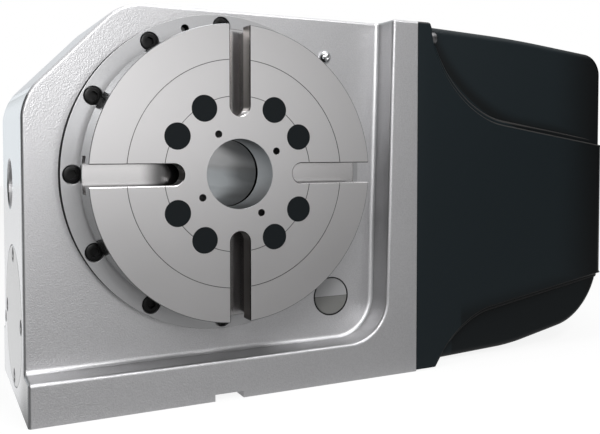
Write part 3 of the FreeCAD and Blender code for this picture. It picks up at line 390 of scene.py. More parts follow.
metals = {  # two colours, roughness, then the tool rings' axis, density, depth and centre
    "bearing_steel": ((0.56, 0.57, 0.58), (0.64, 0.65, 0.66), 0.16, "Y", 9000.0, 0.00001),
    "hard_steel": ((0.36, 0.36, 0.37), (0.45, 0.45, 0.46), 0.30, "X", 7000.0, 0.00002,
                   (0, wormY * mm, wormZ * mm)),
    "bronze": ((0.55, 0.33, 0.13), (0.64, 0.40, 0.17), 0.30, "Y", 6000.0, 0.00002),
    "brake_iron": ((0.20, 0.20, 0.205), (0.27, 0.27, 0.275), 0.44, "Y", 5000.0, 0.00003),
    "fitting_brass": ((0.62, 0.42, 0.16), (0.70, 0.50, 0.21), 0.26, "Y", 6000.0, 0.00002, (0, 0, 0.07)),
    "plated_metal": ((0.72, 0.73, 0.74), (0.80, 0.81, 0.82), 0.12, "Y", 4000.0, 0.00001),
    "plate_aluminium": ((0.55, 0.56, 0.57), (0.62, 0.63, 0.64), 0.36, "X", 5000.0, 0.00003)}
darks = {  # two colours, roughness, gloss, then the specks' density and depth
    "black_steel": ((0.003, 0.003, 0.0031), (0.006, 0.006, 0.0062), 0.34, 0.30, 1800.0, 0.00003),
    "plug_plastic": ((0.010, 0.013, 0.015), (0.013, 0.016, 0.018), 0.48, 0.12, 1500.0, 0.00003),
    "seal_rubber": ((0.016, 0.016, 0.016), (0.026, 0.026, 0.026), 0.70, 0.20, 900.0, 0.00005),
    "motor_black": ((0.014, 0.014, 0.015), (0.022, 0.022, 0.023), 0.46, 0.25, 1100.0, 0.00005)}
for slot, look in metals.items():
    metalFinish(slot, *look)
for slot, look in darks.items():
    darkFinish(slot, *look)
print("plain finishes made:", len(finishes))


# Faceplate

plateHigh = span("faceplate")[1]
plate = dict(
    radius=plateHigh.x, thick=plateHigh.y, steps=240, bore=20.0, boreChamfer=0.05, backChamfer=1.2,
    rimChamfer=0.2, lines=(44.4, 65.0), lineHalf=0.2, lineDepth=0.4,
    slotHalf=6.0, slotLip=10.0, footHalf=10.5, slotDepth=19.0, slotEnd=39.0, slotChamfer=0.45,
    wellRing=42.5, wellRadius=7.5, wellDepth=11.0, wayRadius=4.4,
    tapRing=26.0, tapRadius=2.1, tapDepth=12.0, tapChamfer=0.03, tapStart=30.0,
    plugGap=0.02, plugEase=0.15, plugDish=0.05)
ground = dict(
    colour=(0.70, 0.688, 0.692), paler=(0.77, 0.758, 0.762), rough=0.32, density=6000.0,
    milled=(0.17, 0.155, 0.145), bored=(0.30, 0.305, 0.31), line=(0.12, 0.12, 0.12),
    slotFloor=(0.42, 0.41, 0.41), edge=(0.02, 0.02, 0.02), gap=(0.004, 0.004, 0.004),
    oilAndShade=(0.03, 0.03, 0.03), slotShadeFrom=54.0, slotShadeTo=41.0, slotShadeSide=-20.0,
    jointRadius=(20.03, 22.5), jointDepth=(21.2, 25.8), boreShadeFrom=23.0, boreShadeDepths=(40.0, 85.0))
wellSpots = [spot for i, spot in enumerate(ringOf(plate["wellRing"], 12)) if i % 3]
tapSpots = ringOf(plate["tapRing"], 4, plate["tapStart"])


def groundFinish(slot):  # ground face, turned rim and bore, milled slots, with margins round each, and painted shade in the slots, holes, rings and bore
    p, g = plate, ground
    inputs, place = newFinish(slot, {"Metallic": 1.0})
    radius = farFrom(place, "Y")
    depth = along(place, "Y")
    marks = toolMarks(place, "Y", g["density"])
    patch = grain(place, 22.0)
    facing = facingOf(place)
    upwards = along(facing, "Z")
    flat = facing.sum("ABSOLUTE", along(facing, "Y"), 0.0)
    bore = (p["bore"] + 0.3) * mm > radius
    turnedFace = (radius > (p["radius"] - 0.4) * mm) + bore
    wall = (0.5 > flat) * (1 - turnedFace)
    slotFloor = band(depth, p["slotDepth"] - 1.0, p["slotDepth"] + 0.5) * (flat > 0.9)
    rings = [band(radius, middle - p["lineHalf"], middle + p["lineHalf"]) for middle in p["lines"]]
    line = (rings[0] + rings[1]) * (mm > depth)
    tap = wall * ((p["tapRing"] + 5.0) * mm > radius)
    joint = band(radius, *g["jointRadius"]) * band(depth, *g["jointDepth"])  # plate against spindle
    streak = grain(vectors("MULTIPLY", place, (1, 0.06, 1)), 120.0, 1.0) - 0.5  # along the bore
    # painted shade: the spindle's bore just behind the plate is painted dark, paler deeper in, with
    # streaks along it
    oilAndShade = fade(depth, *g["boreShadeDepths"]) + streak * 1.6
    boreShade = between(oilAndShade, times(g["bored"], 0.16), times(g["bored"], 0.80))
    colours = between(patch * 0.6 + marks * 0.4, g["colour"], g["paler"])
    # the turned rim and the bore take a darker tone, which is partly painted shade standing in for their
    # dark reflections
    colours = stained(colours, turnedFace, g["bored"])
    colours = stained(colours, bore, times(g["bored"], 2.0))
    colours = stained(colours, bore * (depth > g["boreShadeFrom"] * mm), boreShade)
    # painted shade: slot walls that do not face up are painted in the milled tone, and the undercut
    # behind the lips darker still
    colours = stained(colours, wall * (0.5 > upwards), g["milled"])
    colours = stained(colours, wall * (depth > p["slotLip"] * mm), times(g["milled"], 0.35))
    # painted shade: the engraved rings are painted dark
    colours = stained(colours, line, g["line"])
    colours = stained(colours, slotFloor * 0.35, g["slotFloor"])
    slotEndShade = fade(radius, g["slotShadeFrom"], g["slotShadeTo"]) * (g["slotShadeSide"] * mm > along(place, "X"))
    colours = stained(colours, slotFloor * slotEndShade * 0.85, g["oilAndShade"])  # painted shade: the left slot's floor darkens towards its round end
    eased = within(flat, 0.4, 0.95) * (1 - turnedFace) * (0.3 > upwards)
    colours = stained(colours, eased, g["edge"])  # slot edges in shade
    # dark joint against the spindle; the tapped holes are painted near black, painted shade
    stained(colours, higher(joint, tap), g["gap"]).feeds(inputs["Base Color"])
    rim = radius > (p["radius"] - 0.04) * mm
    polish = slotFloor * 0.13 + within(flat, 0.5, 0.9) * 0.10 + rim * 0.16
    (g["rough"] - polish + (marks - 0.5) * 0.10 + (patch - 0.5) * 0.05).feeds(inputs["Roughness"])
    relief(marks, 0.2, 0.00002).feeds(inputs["Normal"])


def slotCutter(half, low, high, flare, turn):  # a round-ended slot, wider at low by the flare
    inner, outer = plate["slotEnd"] - half, plate["radius"] * 1.2
    nearHalf = half * 0.999  # two rounds of the full half would meet
    bm = slab([(inner, -half), (outer, -half), (outer, half), (inner, half)], low, high,
              {0: nearHalf, 3: nearHalf})
    wide = [v for v in bm.verts if abs(v.co.y - low) < hair]
    grow = (half + flare) / half
    about = Matrix.Translation((-plate["slotEnd"], 0, 0))
    bmesh.ops.scale(bm, vec=(grow, 1, grow), space=about, verts=wide)
    swing(bm, turn, "Y")
    return bm


def makeFaceplate():
    p = plate
    front = [(p["bore"] + p["boreChamfer"], 0)]
    for line in p["lines"]:
        inner, outer = line - p["lineHalf"], line + p["lineHalf"]
        front += [(inner, 0), (inner, p["lineDepth"]), (outer, p["lineDepth"]), (outer, 0)]
    rim, wide, back = p["rimChamfer"], p["radius"], p["thick"]
    edge = [(wide - rim, 0), (wide, rim), (wide, back - rim), (wide - rim, back)]
    inside = [(p["bore"] + p["backChamfer"], back), (p["bore"], back - p["backChamfer"]),
              (p["bore"], p["boreChamfer"])]
    piece = toObject(turned(front + edge + inside, steps=p["steps"]), "faceplate_ground")
    half, lip, chamfer, past = p["slotHalf"], p["slotLip"], p["slotChamfer"], 0.2
    slots = []
    for turn in (0, 90, 180, 270):
        slots.append(slotCutter(p["footHalf"], lip, p["slotDepth"], 0, turn))
        slots.append(slotCutter(half, -overCut, lip + overCut, 0, turn))
        slots.append(slotCutter(half, -past, chamfer, chamfer + past, turn))
    wells = holes(wellSpots, p["wellRadius"], 0, p["wellDepth"], steps=64)
    ways = holes(wellSpots, p["wayRadius"], p["wellDepth"], p["thick"] + overCut)
    taps = holes(tapSpots, p["tapRadius"], 0, p["tapDepth"], p["tapChamfer"], steps=32)
    shaped(piece, [*slots, wells, ways, taps])
    dress(piece, "table", "ground_steel", "faceplate", even=False)


def makePlugs():
    p = plate
    low, high = (corner.y for corner in span("faceplate_plugs"))
    r, ease = p["wellRadius"] - p["plugGap"], p["plugEase"]
    profile = [(0, low + p["plugDish"]), (r * 0.7, low), (r - ease, low), (r, low + ease),
               (r, high), (0, high)]
    plugs = joined([turned(profile, spot=spot, steps=64) for spot in wellSpots])
    piece = toObject(plugs, "counterbore_plugs")
    dress(piece, "table", "plug_plastic", "faceplate_plugs", even=False)


groundFinish("ground_steel")
makeFaceplate()
makePlugs()
print("faceplate made")


# Socket head screws

capHead = dict(socket=0.48, radius=0.825, ease=0.09, socketDepth=0.55)  # shares of thread and head
tipTurns = {"front": 0, "left": -90, "back": 180, "right": 90}  # about Z, to point the tip inwards
socketTurn = 17  # degrees from one screw's socket to the next


def drawnOut(bm, edges):  # new verts that are still joined to these edges
    return vertsIn(bmesh.ops.extrude_edge_only(bm, edges=edges)["geom"])


def edgesOf(bm, verts):
    return [edge for edge in bm.edges if all(v in verts for v in edge.verts)]


def grownRing(bm, edges, radius, depth):  # the next ring of a turned form, drawn out of the last
    verts = drawnOut(bm, edges)
    grow = radius / math.hypot(verts[0].co.x, verts[0].co.z)
    bmesh.ops.scale(bm, vec=(grow, 1, grow), verts=verts)
    bmesh.ops.translate(bm, vec=(0, depth - verts[0].co.y, 0), verts=verts)
    return edgesOf(bm, verts)


def capScrew(size, head, length):  # head's top at 0, tip at +Y
    bm = bmesh.new()
    upright = Matrix.Rotation(math.radians(90), 4, "X")
    wide, ease, hexHalf = (size * capHead[share] for share in ("radius", "ease", "socket"))
    shank = size / 2
    socket = bmesh.ops.create_circle(bm, segments=6, radius=hexHalf, matrix=upright)["verts"]
    sides = list({edge for v in socket for edge in v.link_edges})
    bmesh.ops.subdivide_edges(bm, edges=sides, cuts=5)
    hexEdges = bm.edges[:]
    top = bmesh.ops.create_circle(bm, segments=36, radius=wide - ease, matrix=upright)["verts"]
    topEdges = list({edge for v in top for edge in v.link_edges})
    bmesh.ops.bridge_loops(bm, edges=hexEdges + topEdges)
    floor = drawnOut(bm, hexEdges)
    bmesh.ops.translate(bm, vec=(0, head * capHead["socketDepth"], 0), verts=floor)
    bmesh.ops.contextual_create(bm, geom=edgesOf(bm, floor))
    ring = topEdges
    for radius, depth in ((wide - ease * 0.3, ease * 0.3), (wide, ease), (wide, head), (shank, head),
                          (shank, length - ease * 2), (shank - ease * 2, length)):
        ring = grownRing(bm, ring, radius, depth)
    bmesh.ops.contextual_create(bm, geom=ring)
    bmesh.ops.recalc_face_normals(bm, faces=bm.faces)
    return bm


def makeScrews(node, name, size, spots, top, side, slot="black_steel"):  # socket heads
    low, high = span(node)
    lengthways = side in ("front", "back")
    length = high.y - low.y if lengthways else high.x - low.x
    screws = []
    for i, (across, up) in enumerate(spots):
        bm = capScrew(size, size, length)
        swing(bm, socketTurn * i, "Y")
        swing(bm, tipTurns[side], "Z")
        bmesh.ops.translate(bm, vec=spotOn("Y" if lengthways else "X", across, up, top), verts=bm.verts)
        screws.append(bm)
    dress(toObject(joined(screws), name), "base", slot, node, even=False)


# Bearing flange

flangeHigh = span("bearing_flange")[1]
flange = dict(
    radius=flangeHigh.x, front=29.7, floor=recessFloor, back=flangeHigh.y, inner=73.0, lip=68.0,
    seat=80.0, rimRound=0.25, steps=240, ring=87.9, places=12, screw=6.0, screwDown=0.5,
    wellRadius=5.45, wellDepth=6.5, wellEase=0.25, wayRadius=3.3,
    jackTurn=105.0, jackRadius=2.25, jackEase=0.3,
    shadedRim=(94.1, 95.0), shadedDepth=(29.9, 38.0), shadedHole=2.35)


def flangePaintedShade(colours, place, facing, smooth):  # painted shade: the rim's side wall and the jack hole are painted near black and made rougher; faces that look left are darker
    f = flange
    depth = along(place, "Y")
    across, up = ringOf(f["ring"] * mm, 1, f["jackTurn"])[0]
    edge = band(farFrom(place, "Y"), *f["shadedRim"]) * band(depth, *f["shadedDepth"])
    hole = (f["shadedHole"] * mm > farFrom(place, "Y", (across, 0, up))) * (depth > f["shadedDepth"][0] * mm)
    paintedShade = higher(edge, hole)
    colours = stained(colours, paintedShade, (0.02, 0.02, 0.021))
    return stained(colours, smooth * 0.7, (0.30, 0.31, 0.32)), paintedShade


def makeFlange():
    f = flange
    ease, wide, front, floor = f["rimRound"], f["radius"], f["front"], f["floor"]
    profile = [(f["inner"] + ease, front), (wide - ease, front), (wide - ease * 0.3, front + ease * 0.3),
               (wide, front + ease), (wide, floor), (f["seat"], floor), (f["seat"], f["back"]),
               (f["lip"], f["back"]), (f["lip"], floor), (f["inner"], floor), (f["inner"], front + ease)]
    piece = toObject(turned(profile, steps=f["steps"]), "flange_ring")
    spots = ringOf(f["ring"], f["places"])[1:]  # no screw on the right
    through = floor + overCut
    jack = holes(ringOf(f["ring"], 1, f["jackTurn"]), f["jackRadius"], front, through, f["jackEase"])
    shaped(piece, [*screwHoles(spots, f, front, through), jack])
    dress(piece, "base", "flange_paint", "bearing_flange")
    makeScrews("flange_screws", "flange_cap_screws", f["screw"], spots, front + f["screwDown"], "front")


paintFinish("flange_paint", (0.55, 0.55, 0.56), (0.61, 0.61, 0.62), 0.38, 0.80, 1200.0, 0.00003,
            flangePaintedShade)
makeFlange()
print("flange made")


# Casting

castLow, castHigh = span("casting")
block = dict(
    left=castLow.x, right=castHigh.x, base=castLow.z, top=castHigh.z, front=castLow.y,
    floor=recessFloor, back=140.0, cornerCut=56.0, cornerRound=28.0,
    ledge=-111.0, columnTop=114.7, columnFoot=109.6, columnRound=27.0,
    keyHalf=9.0, keyHeight=4.0, heelTop=-104.5, heelBack=castHigh.y,
    edge=2.0, fillet=3.2, smallEdge=0.5,
    recessRight=80.0, recessLow=-85.0, shadeDepth=(70.0, 28.0), shadeHeight=(-85.0, -115.0))
bores = dict(spindle=[(0, 28.5), (80, 28.5), (80, 60), (71.5, 60), (71.5, 108.5), (78, 108.5), (78, 131),
                      (92, 131), (92, 141), (0, 141)],
             worm=[(0, -116), (43, -116), (43, -106), (31, -106), (31, -82), (22, -82), (22, 82),
                   (31, 82), (31, 108), (41, 108), (41, 136), (0, 136)],
             pinion=rod(23, 108, 136), pinionZ=-32.5,
             eye=[(0, 0), (6.0, 0), (4.25, 1.75), (4.25, 21), (0, 21)], eyeProud=0.75,
             glassFit=0.05, oilerRadius=3.0, behind=2.0,
             sideEases={"side_port_plug": 0.8, "drain_plug": 0.4})


def castingPaintedLight(colours, place, facing, smooth):  # painted light: the steep recess walls painted darker, a painted highlight along their fillet, and on the left face a painted cool reflection and painted shade
    b = block
    x, y, z = (along(place, axis) for axis in "XYZ")
    front = along(facing, "Y")
    leftwards = along(facing, "X") * -1.0
    column = (leftwards > 0.25) * (x > b["recessRight"] * mm)
    ledge = (along(facing, "Z") > 0.25) * (b["recessLow"] * mm > z)
    recess = (column + ledge > 0.5) * ((b["floor"] + 0.1) * mm > y)
    steep = recess * slope(front, -0.55, -0.25)
    filletHighlight = recess * slope(front, -0.98, -0.88) * slope(front, -0.30, -0.55)
    filletHighlight = filletHighlight * (y > (b["floor"] - b["fillet"] - 0.2) * mm)
    # painted shade on the steep recess walls
    colours = stained(colours, steep * 0.5, (0.16, 0.16, 0.16))
    # painted highlight along the recess fillet
    colours = stained(colours, filletHighlight * 0.6, (0.92, 0.92, 0.93))
    # painted reflection: the left face painted paler and cooler
    colours = stained(colours, smooth * 0.5, (0.80, 0.82, 0.85))
    # painted shade: the left face darker low and towards the front, and along its rounded front edge
    shady = fade(y, *b["shadeDepth"]) * fade(z, *b["shadeHeight"]) * smooth
    corner = slope(leftwards, 0.15, 0.40) * slope(leftwards, 0.98, 0.85) * ((leftSide - 2.0) * mm > x)
    return stained(colours, higher(shady * 0.7, corner * 0.65), (0.11, 0.112, 0.115)), 0.0


def pushBack(bm, faces, depth, closed=True):  # a sheet keeps its first faces, a closed form drops them
    grown = bmesh.ops.extrude_face_region(bm, geom=faces)["geom"]
    bmesh.ops.translate(bm, vec=(0, depth, 0), verts=vertsIn(grown))
    if closed:
        bmesh.ops.delete(bm, geom=faces, context="FACES_KEEP_BOUNDARY")


def castingBlock():
    b = block
    bm = bmesh.new()
    left, right, base, top, ledge = (b[name] for name in ("left", "right", "base", "top", "ledge"))
    key, keyTop, cut = b["keyHalf"], base + b["keyHeight"], b["cornerCut"]
    spots = [(left, base), (-key, base), (-key, keyTop), (key, keyTop), (key, base), (right, base),
             (right, top), (b["columnTop"], top), (b["columnFoot"], ledge), (left, ledge),
             (left, top - cut), (left + cut, top)]
    verts = [bm.verts.new((x, b["floor"], z)) for x, z in spots]
    bm.faces.new(verts[:10])  # foot and column
    bm.faces.new([verts[i] for i in (9, 8, 7, 11, 10)])  # recess floor
    roundCorners(bm, verts, {8: b["columnRound"], 10: b["cornerRound"], 11: b["cornerRound"]}, 20)
    pushBack(bm, bm.faces[:], b["back"] - b["floor"], closed=False)
    bmesh.ops.recalc_face_normals(bm, faces=bm.faces)
    forward = [f for f in bm.faces if f.normal.y < -0.9 and min(v.co.z for v in f.verts) < base + 1]
    pushBack(bm, forward, b["front"] - b["floor"])
    bmesh.ops.dissolve_limit(bm, angle_limit=0.01, verts=bm.verts, edges=bm.edges)
    backs = [f for f in bm.faces if f.normal.y > 0.9]
    around = list({part for f in backs for part in (f, *f.edges, *f.verts)})
    bmesh.ops.bisect_plane(bm, geom=around, dist=hair, plane_co=(0, 0, b["heelTop"]), plane_no=(0, 0, 1))
    heel = [f for f in bm.faces if f.normal.y > 0.9 and f.calc_center_median().z < b["heelTop"]]
    pushBack(bm, heel, b["heelBack"] - b["back"])
    bmesh.ops.dissolve_limit(bm, angle_limit=0.01, verts=bm.verts, edges=bm.edges)
    bmesh.ops.recalc_face_normals(bm, faces=bm.faces)
    return bm


def fittingHoles():
    b = block
    sides = []
    for node, ease in bores["sideEases"].items():
        low, high = span(node)
        radius = (high.y - low.y) / 2
        sides.append(holeCutter(nodeSpot(node, "X"), radius, b["left"], high.x, ease, "X", 64))
    low, high = span("oil_glass_bezel")
    radius = (high.x - low.x) / 2 - bores["glassFit"]
    glass = holeCutter(nodeSpot("oil_glass_bezel", "Y"), radius, b["floor"], high.y + bores["behind"])
    deep = span("ball_oiler")[1].y + bores["behind"]
    oilHole = holeCutter(nodeSpot("ball_oiler", "Y"), bores["oilerRadius"], b["floor"], deep)
    eye = turned(bores["eye"], steps=48)  # thread for a lifting eye, in the top
    swing(eye, -90, "X")
    bmesh.ops.translate(eye, vec=(0, wormY, b["top"] + bores["eyeProud"]), verts=eye.verts)
    return [*sides, glass, oilHole, eye]


def makeCasting():
    b = block
    bm = castingBlock()
    footTop = b["base"] + b["keyHeight"] + 0.5

    def onSide(edge):  # touches the cover
        return allAt(edge, 0, b["right"])

    def onTable(edge):  # touches the machine table and stays sharp
        return all(v.co.z < footTop for v in edge.verts)

    hollow = [edge for edge in bm.edges if not edge.is_convex and allAt(edge, 1, b["floor"])]
    bmesh.ops.bevel(bm, geom=hollow, offset=b["fillet"], offset_type="OFFSET", affect="EDGES",
                    segments=8, profile=0.5, material=-1)
    soften(bm, b["smallEdge"], onSide)
    soften(bm, b["edge"], lambda edge: edge.is_convex and not onSide(edge) and not onTable(edge))
    piece = toObject(bm, "casting_body")
    spindleBore = turned(bores["spindle"], steps=160)
    wormBore = turned(bores["worm"], "X", (wormY, wormZ), 128)
    pinionBore = turned(bores["pinion"], "X", (wormY, bores["pinionZ"]), 64)
    shaped(piece, [spindleBore, wormBore, pinionBore, *fittingHoles()], rounded=True)
    dress(piece, "base", "casting_paint", "casting")


paintFinish("casting_paint", (0.604, 0.601, 0.614), (0.828, 0.825, 0.84), 0.42, 0.85, 1300.0, 0.0002,
            castingPaintedLight)
makeCasting()
print("casting made")


# Motor cover

coverLow, coverHigh = span("motor_cover")
hood = dict(
    start=coverLow.x, end=coverHigh.x, front=coverLow.y, back=coverHigh.y, low=coverLow.z,
    top=coverHigh.z, flange=144.0, setBack=12.0, rearStep=9.0, wall=4.0, overhang=1.0,
    topDraft=0.074, kneeRun=88.0, kneeDrop=3.8, kneeRound=900.0, lift=20.6, liftRound=150.0,
    topRound=16.0, lowRound=50.0, shellRound=5.0,
    upperRun=24.5, upperDrop=60.0, upperRound=76.0, upperGrow=(0.81, 0.9),
    lowerRun=38.0, lowerRise=32.0, lowerLead=21.3, lowerRound=62.0, lowerGrow=(0.58, 0.93),
    beltSlope=0.14, beltDraft=0.0524, beltRound=1.6, endRound=8.0,
    stepRun=3.6, stepDrop=3.0, stepRound=2.6,
    screw=5.0, headHalf=4.125, wellRadius=5.1, wellLong=30.0, wayRadius=2.75)


def coverShade(place):  # darker in the corner above the belt, below the belt and at the end
    h = hood
    x, z = along(place, "X"), along(place, "Z")
    end, radius = h["end"] * mm, h["upperRound"] * mm
    upperX, upperZ = (h["start"] + h["upperRun"]) * mm, (h["top"] - h["upperDrop"]) * mm
    lowerX, lowerZ = (h["start"] + h["lowerRun"]) * mm, (h["low"] + h["lowerRise"]) * mm
    lean = (upperX - h["flange"] * mm) / (h["upperDrop"] * mm)
    above = (z - upperZ) + (x - upperX) * h["beltSlope"]
    beside = (x - upperX) + (z - upperZ) * lean
    first = higher(radius - above, 0.0)
    second = higher(radius - beside, 0.0)
    gap = radius - x.sum("POWER", first * first + second * second, 0.5)  # from the belt's rounded corner
    corner = slope(gap, 0.012, 0.002) * (gap > -0.0005)
    foot = slope((x - lowerX) * h["beltSlope"] - (z - lowerZ), -0.012, 0.003) * (x > lowerX)
    tail = slope(x, end - 0.055, end - 0.004)
    return higher(higher(corner * 0.8, foot * 0.65), tail * 0.9)


def coverPaintedLight(colours, place):
    facing = facingOf(place)
    forward, upwards = along(facing, "Y"), along(facing, "Z")
    # painted shade in the corner above the belt, below it and at the end
    colours = stained(colours, coverShade(place), (0.0016, 0.0019, 0.0021))
    beltBack = (hood["front"] + hood["setBack"] - 0.1) * mm
    edge = (forward > -0.93) * (beltBack > along(place, "Y"))
    # painted shade on the belt's edges that face down
    colours = stained(colours, edge * (-0.2 > upwards), (0.001, 0.001, 0.001))
    beltHighlight = edge * (-0.45 > forward) * (upwards > 0.25)  # painted highlight on the belt's upper edges
    return stained(colours, beltHighlight * 0.8, (0.055, 0.052, 0.050))


def hoodShell(inset):
    h = hood
    tip = h["end"] - h["overhang"]
    end, top, low = tip - inset, h["top"] - inset, h["low"] + inset
    near, far = h["front"] + h["setBack"] + inset, h["back"] - h["rearStep"] - inset
    endHigh = top - (tip - h["flange"]) * h["topDraft"]
    knee = tip - h["kneeRun"]
    start = h["start"] - (overCut if inset else 0)
    outline = [(start, low), (h["flange"], low), (knee, low + h["lift"] / 6), (end, low + h["lift"]),
               (end, endHigh), (knee, top - h["kneeDrop"]), (h["flange"], top), (start, top)]
    rounds = {2: h["liftRound"], 3: h["lowRound"] - inset, 4: h["topRound"] - inset, 5: h["kneeRound"]}
    bm = slab(outline, near, far, rounds, parts=20)
    if not inset:
        soften(bm, h["shellRound"],
               lambda e: (allAt(e, 1, near) or allAt(e, 1, far)) and not allAt(e, 0, start))
    return bm


def hoodBelt(inset, run=0.0, drop=0.0, ease=0.0):  # run and drop widen and lower it into a step
    h = hood
    end = h["end"] - inset
    start = h["start"] - (overCut if inset else 0)
    grown = run - inset
    upper = (h["start"] + h["upperRun"] + grown * h["upperGrow"][0],
             h["top"] - h["upperDrop"] + grown * h["upperGrow"][1])
    lower = (h["start"] + h["lowerRun"] + grown * h["lowerGrow"][0],
             h["low"] + h["lowerRise"] - grown * h["lowerGrow"][1])
    upperEnd = upper[1] - (end - upper[0]) * h["beltSlope"]
    lowerEnd = lower[1] + (end - lower[0]) * h["beltSlope"]
    near, far = h["front"] + inset + drop, h["back"] - inset - drop
    if inset:
        lowStart, highStart = [(start, lower[1])], [(start, upper[1])]
    else:
        lowStart = [(start, h["low"]), (h["start"] + h["lowerRun"] - h["lowerLead"] + run, h["low"])]
        highStart = [(h["flange"] + run, h["top"]), (start, h["top"])]
    outline = [*lowStart, lower, (end, lowerEnd), (end, upperEnd), upper, *highStart]
    turns = {len(lowStart): h["lowerRound"], len(lowStart) + 3: h["upperRound"]}
    bm = slab(outline, near, far, {} if inset else turns, parts=28)
    bmesh.ops.bisect_plane(bm, geom=bm.verts[:] + bm.edges[:] + bm.faces[:], dist=hair,
                           plane_co=(h["flange"], 0, 0), plane_no=(1, 0, 0))
    for vert in bm.verts:  # the sides draw in towards the end
        past = max(0.0, vert.co.x - h["flange"])
        vert.co.y += past * h["beltDraft"] * (1 if vert.co.y < (near + far) / 2 else -1)
    if not inset:
        soften(bm, ease, lambda e: not allAt(e, 0, start) and not allAt(e, 2, h["low"]))
        soften(bm, h["endRound"],
               lambda e: allAt(e, 0, end) and abs(e.verts[0].co.z - e.verts[1].co.z) > 20)
    return bm


def screwWells():
    h = hood
    low, high = span("cover_screws")
    half, seat = h["headHalf"], high.x - h["screw"]
    spots = [(y, z) for y in (low.y + half, high.y - half) for z in (low.z + half, high.z - half)]
    well = rod(h["wellRadius"], seat, seat + h["wellLong"])
    way = rod(h["wayRadius"], h["start"] - overCut, seat + overCut)
    wells = joined([turned(well, "X", spot, 48) for spot in spots])
    ways = joined([turned(way, "X", spot, 32) for spot in spots])
    return spots, [wells, ways]


def makeCover():
    h = hood
    spots, wells = screwWells()
    belt = shaped(toObject(hoodBelt(0, ease=h["beltRound"]), "belt_helper"), rounded=True, parts=6)
    step = hoodBelt(0, h["stepRun"], h["stepDrop"], h["stepRound"])
    step = shaped(toObject(step, "step_helper"), rounded=True, parts=6)
    piece = shaped(toObject(hoodShell(0), "motor_hood"), rounded=True)
    shaped(piece, added=[step, belt])
    shaped(piece, cutters=[hoodShell(h["wall"]), hoodBelt(h["wall"]), *wells])
    dress(piece, "base", "cover_plastic", "motor_cover")
    headTop = span("cover_screws")[1].x
    makeScrews("cover_screws", "hood_cap_screws", h["screw"], spots, headTop, "right", "hard_steel")


darkFinish("cover_plastic", (0.0105, 0.0170, 0.0205), (0.0125, 0.0195, 0.0235), 0.42, 0.30, 1300.0,
           0.00004, coverPaintedLight)
makeCover()
print("motor cover made")


# Spindle and the small fittings

shaft = dict(bore=20.0, mouth=2.0, ease=0.6, thread=33.0,
             steps=((62.0, 42.0), (55.0, 60.0), (40.0, 115.0), (35.0, 125.0)))  # radius and end


def makeSpindle():
    s = shaft
    low, high = span("spindle")
    end, ease, bore = high.y, s["ease"], s["bore"]
    profile = [(bore + s["mouth"], low.y)]
    start = low.y
    for radius, stop in (*s["steps"], (s["thread"], end - ease)):
        profile += [(radius, start), (radius, stop)]
        start = stop
    profile += [(s["thread"] - ease, end), (bore + ease, end), (bore, end - ease),
                (bore, low.y + s["mouth"])]
    piece = toObject(turned(profile, steps=160), "spindle_turned")
    dress(piece, "table", "ground_steel", "spindle", even=False)


sight = dict(
    gap=0.02, ease=0.2, shelf=1.5, flat=0.7, edge=0.3, drops=(0.02, 0.08, 0.35),
    oilAndShade=((0.25, 0.25, 0.24), (0.29, 0.29, 0.28)), dry=((0.50, 0.50, 0.51), (0.54, 0.54, 0.55)),
    line=(0.2, 0.2, 0.19))


def glassFinish(slot, level):  # a sight glass, clear above the oil and darker below
    inputs, place = newFinish(slot, {"Roughness": 0.12, "Specular IOR Level": 0.5, "Coat Weight": 0.4})
    height = along(place, "Z")
    cloud = grain(place, 60.0)
    wet = (level + (cloud - 0.5) * 0.0002) - height > 0.0
    line = 0.0002 > height.sum("ABSOLUTE", height - level, 0.0)
    filled = between(wet, between(cloud, *sight["dry"]), between(cloud, *sight["oilAndShade"]))
    stained(filled, line, sight["line"]).feeds(inputs["Base Color"])


def makeSightGlass():
    low, high = span("oil_glass_bezel")
    paneLow, paneHigh = span("oil_glass_lens")
    glassFinish("clear_glass", (paneLow.z + paneHigh.z) / 2 * mm)  # half full
    spot = nodeSpot("oil_glass_bezel", "Y")
    outer, pane = (high.x - low.x) / 2, (paneHigh.x - paneLow.x) / 2
    seat, front, back, near = paneHigh.y, low.y, high.y, paneLow.y
    ease, inner, shelf = sight["ease"], pane + sight["gap"], pane - sight["shelf"]
    rim = [(inner, front + ease), (pane + ease, front), (outer - ease, front), (outer, front + ease),
           (outer, back), (shelf, back), (shelf, seat), (inner, seat)]
    piece = toObject(turned(rim, spot=spot), "sight_rim")
    dress(piece, "base", "black_steel", "oil_glass_bezel", even=False)
    drops = [near + drop for drop in sight["drops"]]
    lens = [(0, near), (pane * sight["flat"], drops[0]), (pane - sight["edge"], drops[1]),
            (pane, drops[2]), (pane, seat), (0, seat)]
    piece = toObject(turned(lens, spot=spot), "sight_lens")
    dress(piece, "base", "clear_glass", "oil_glass_lens", even=False)


# the ball's profile is in shares of the radius and drops from the top
oiler = dict(ball=((0, 0), (0.16, 0.06), (0.27, 0.3), (0.29, 0.32)), stem=0.74, sink=0.1)


def makeOiler():
    low, high = span("ball_oiler")
    radius, top = (high.x - low.x) / 2, low.y
    turns = [math.radians(10 * i) for i in range(2, 10)]
    tall = recessFloor - top
    dome = [(radius * math.sin(turn), recessFloor - tall * math.cos(turn)) for turn in turns]
    ball = [(radius * share, top + drop) for share, drop in oiler["ball"]]
    base, stem = recessFloor + oiler["sink"], radius * oiler["stem"]
    profile = ball + dome + [(radius, base), (stem, base), (stem, high.y), (0, high.y)]
    piece = toObject(turned(profile, spot=nodeSpot("ball_oiler", "Y"), steps=64), "oiler_ball")
    dress(piece, "base", "plated_metal", "ball_oiler", even=False)


endCover = dict(ease=0.8, thick=8.0, spigot=31.0, hollow=26.0, skin=5.3, ring=37.0, places=4, screw=5.0,
                wellRadius=4.6, wellDepth=5.5, wellEase=0.2, wayRadius=2.75, wayDepth=9.0)


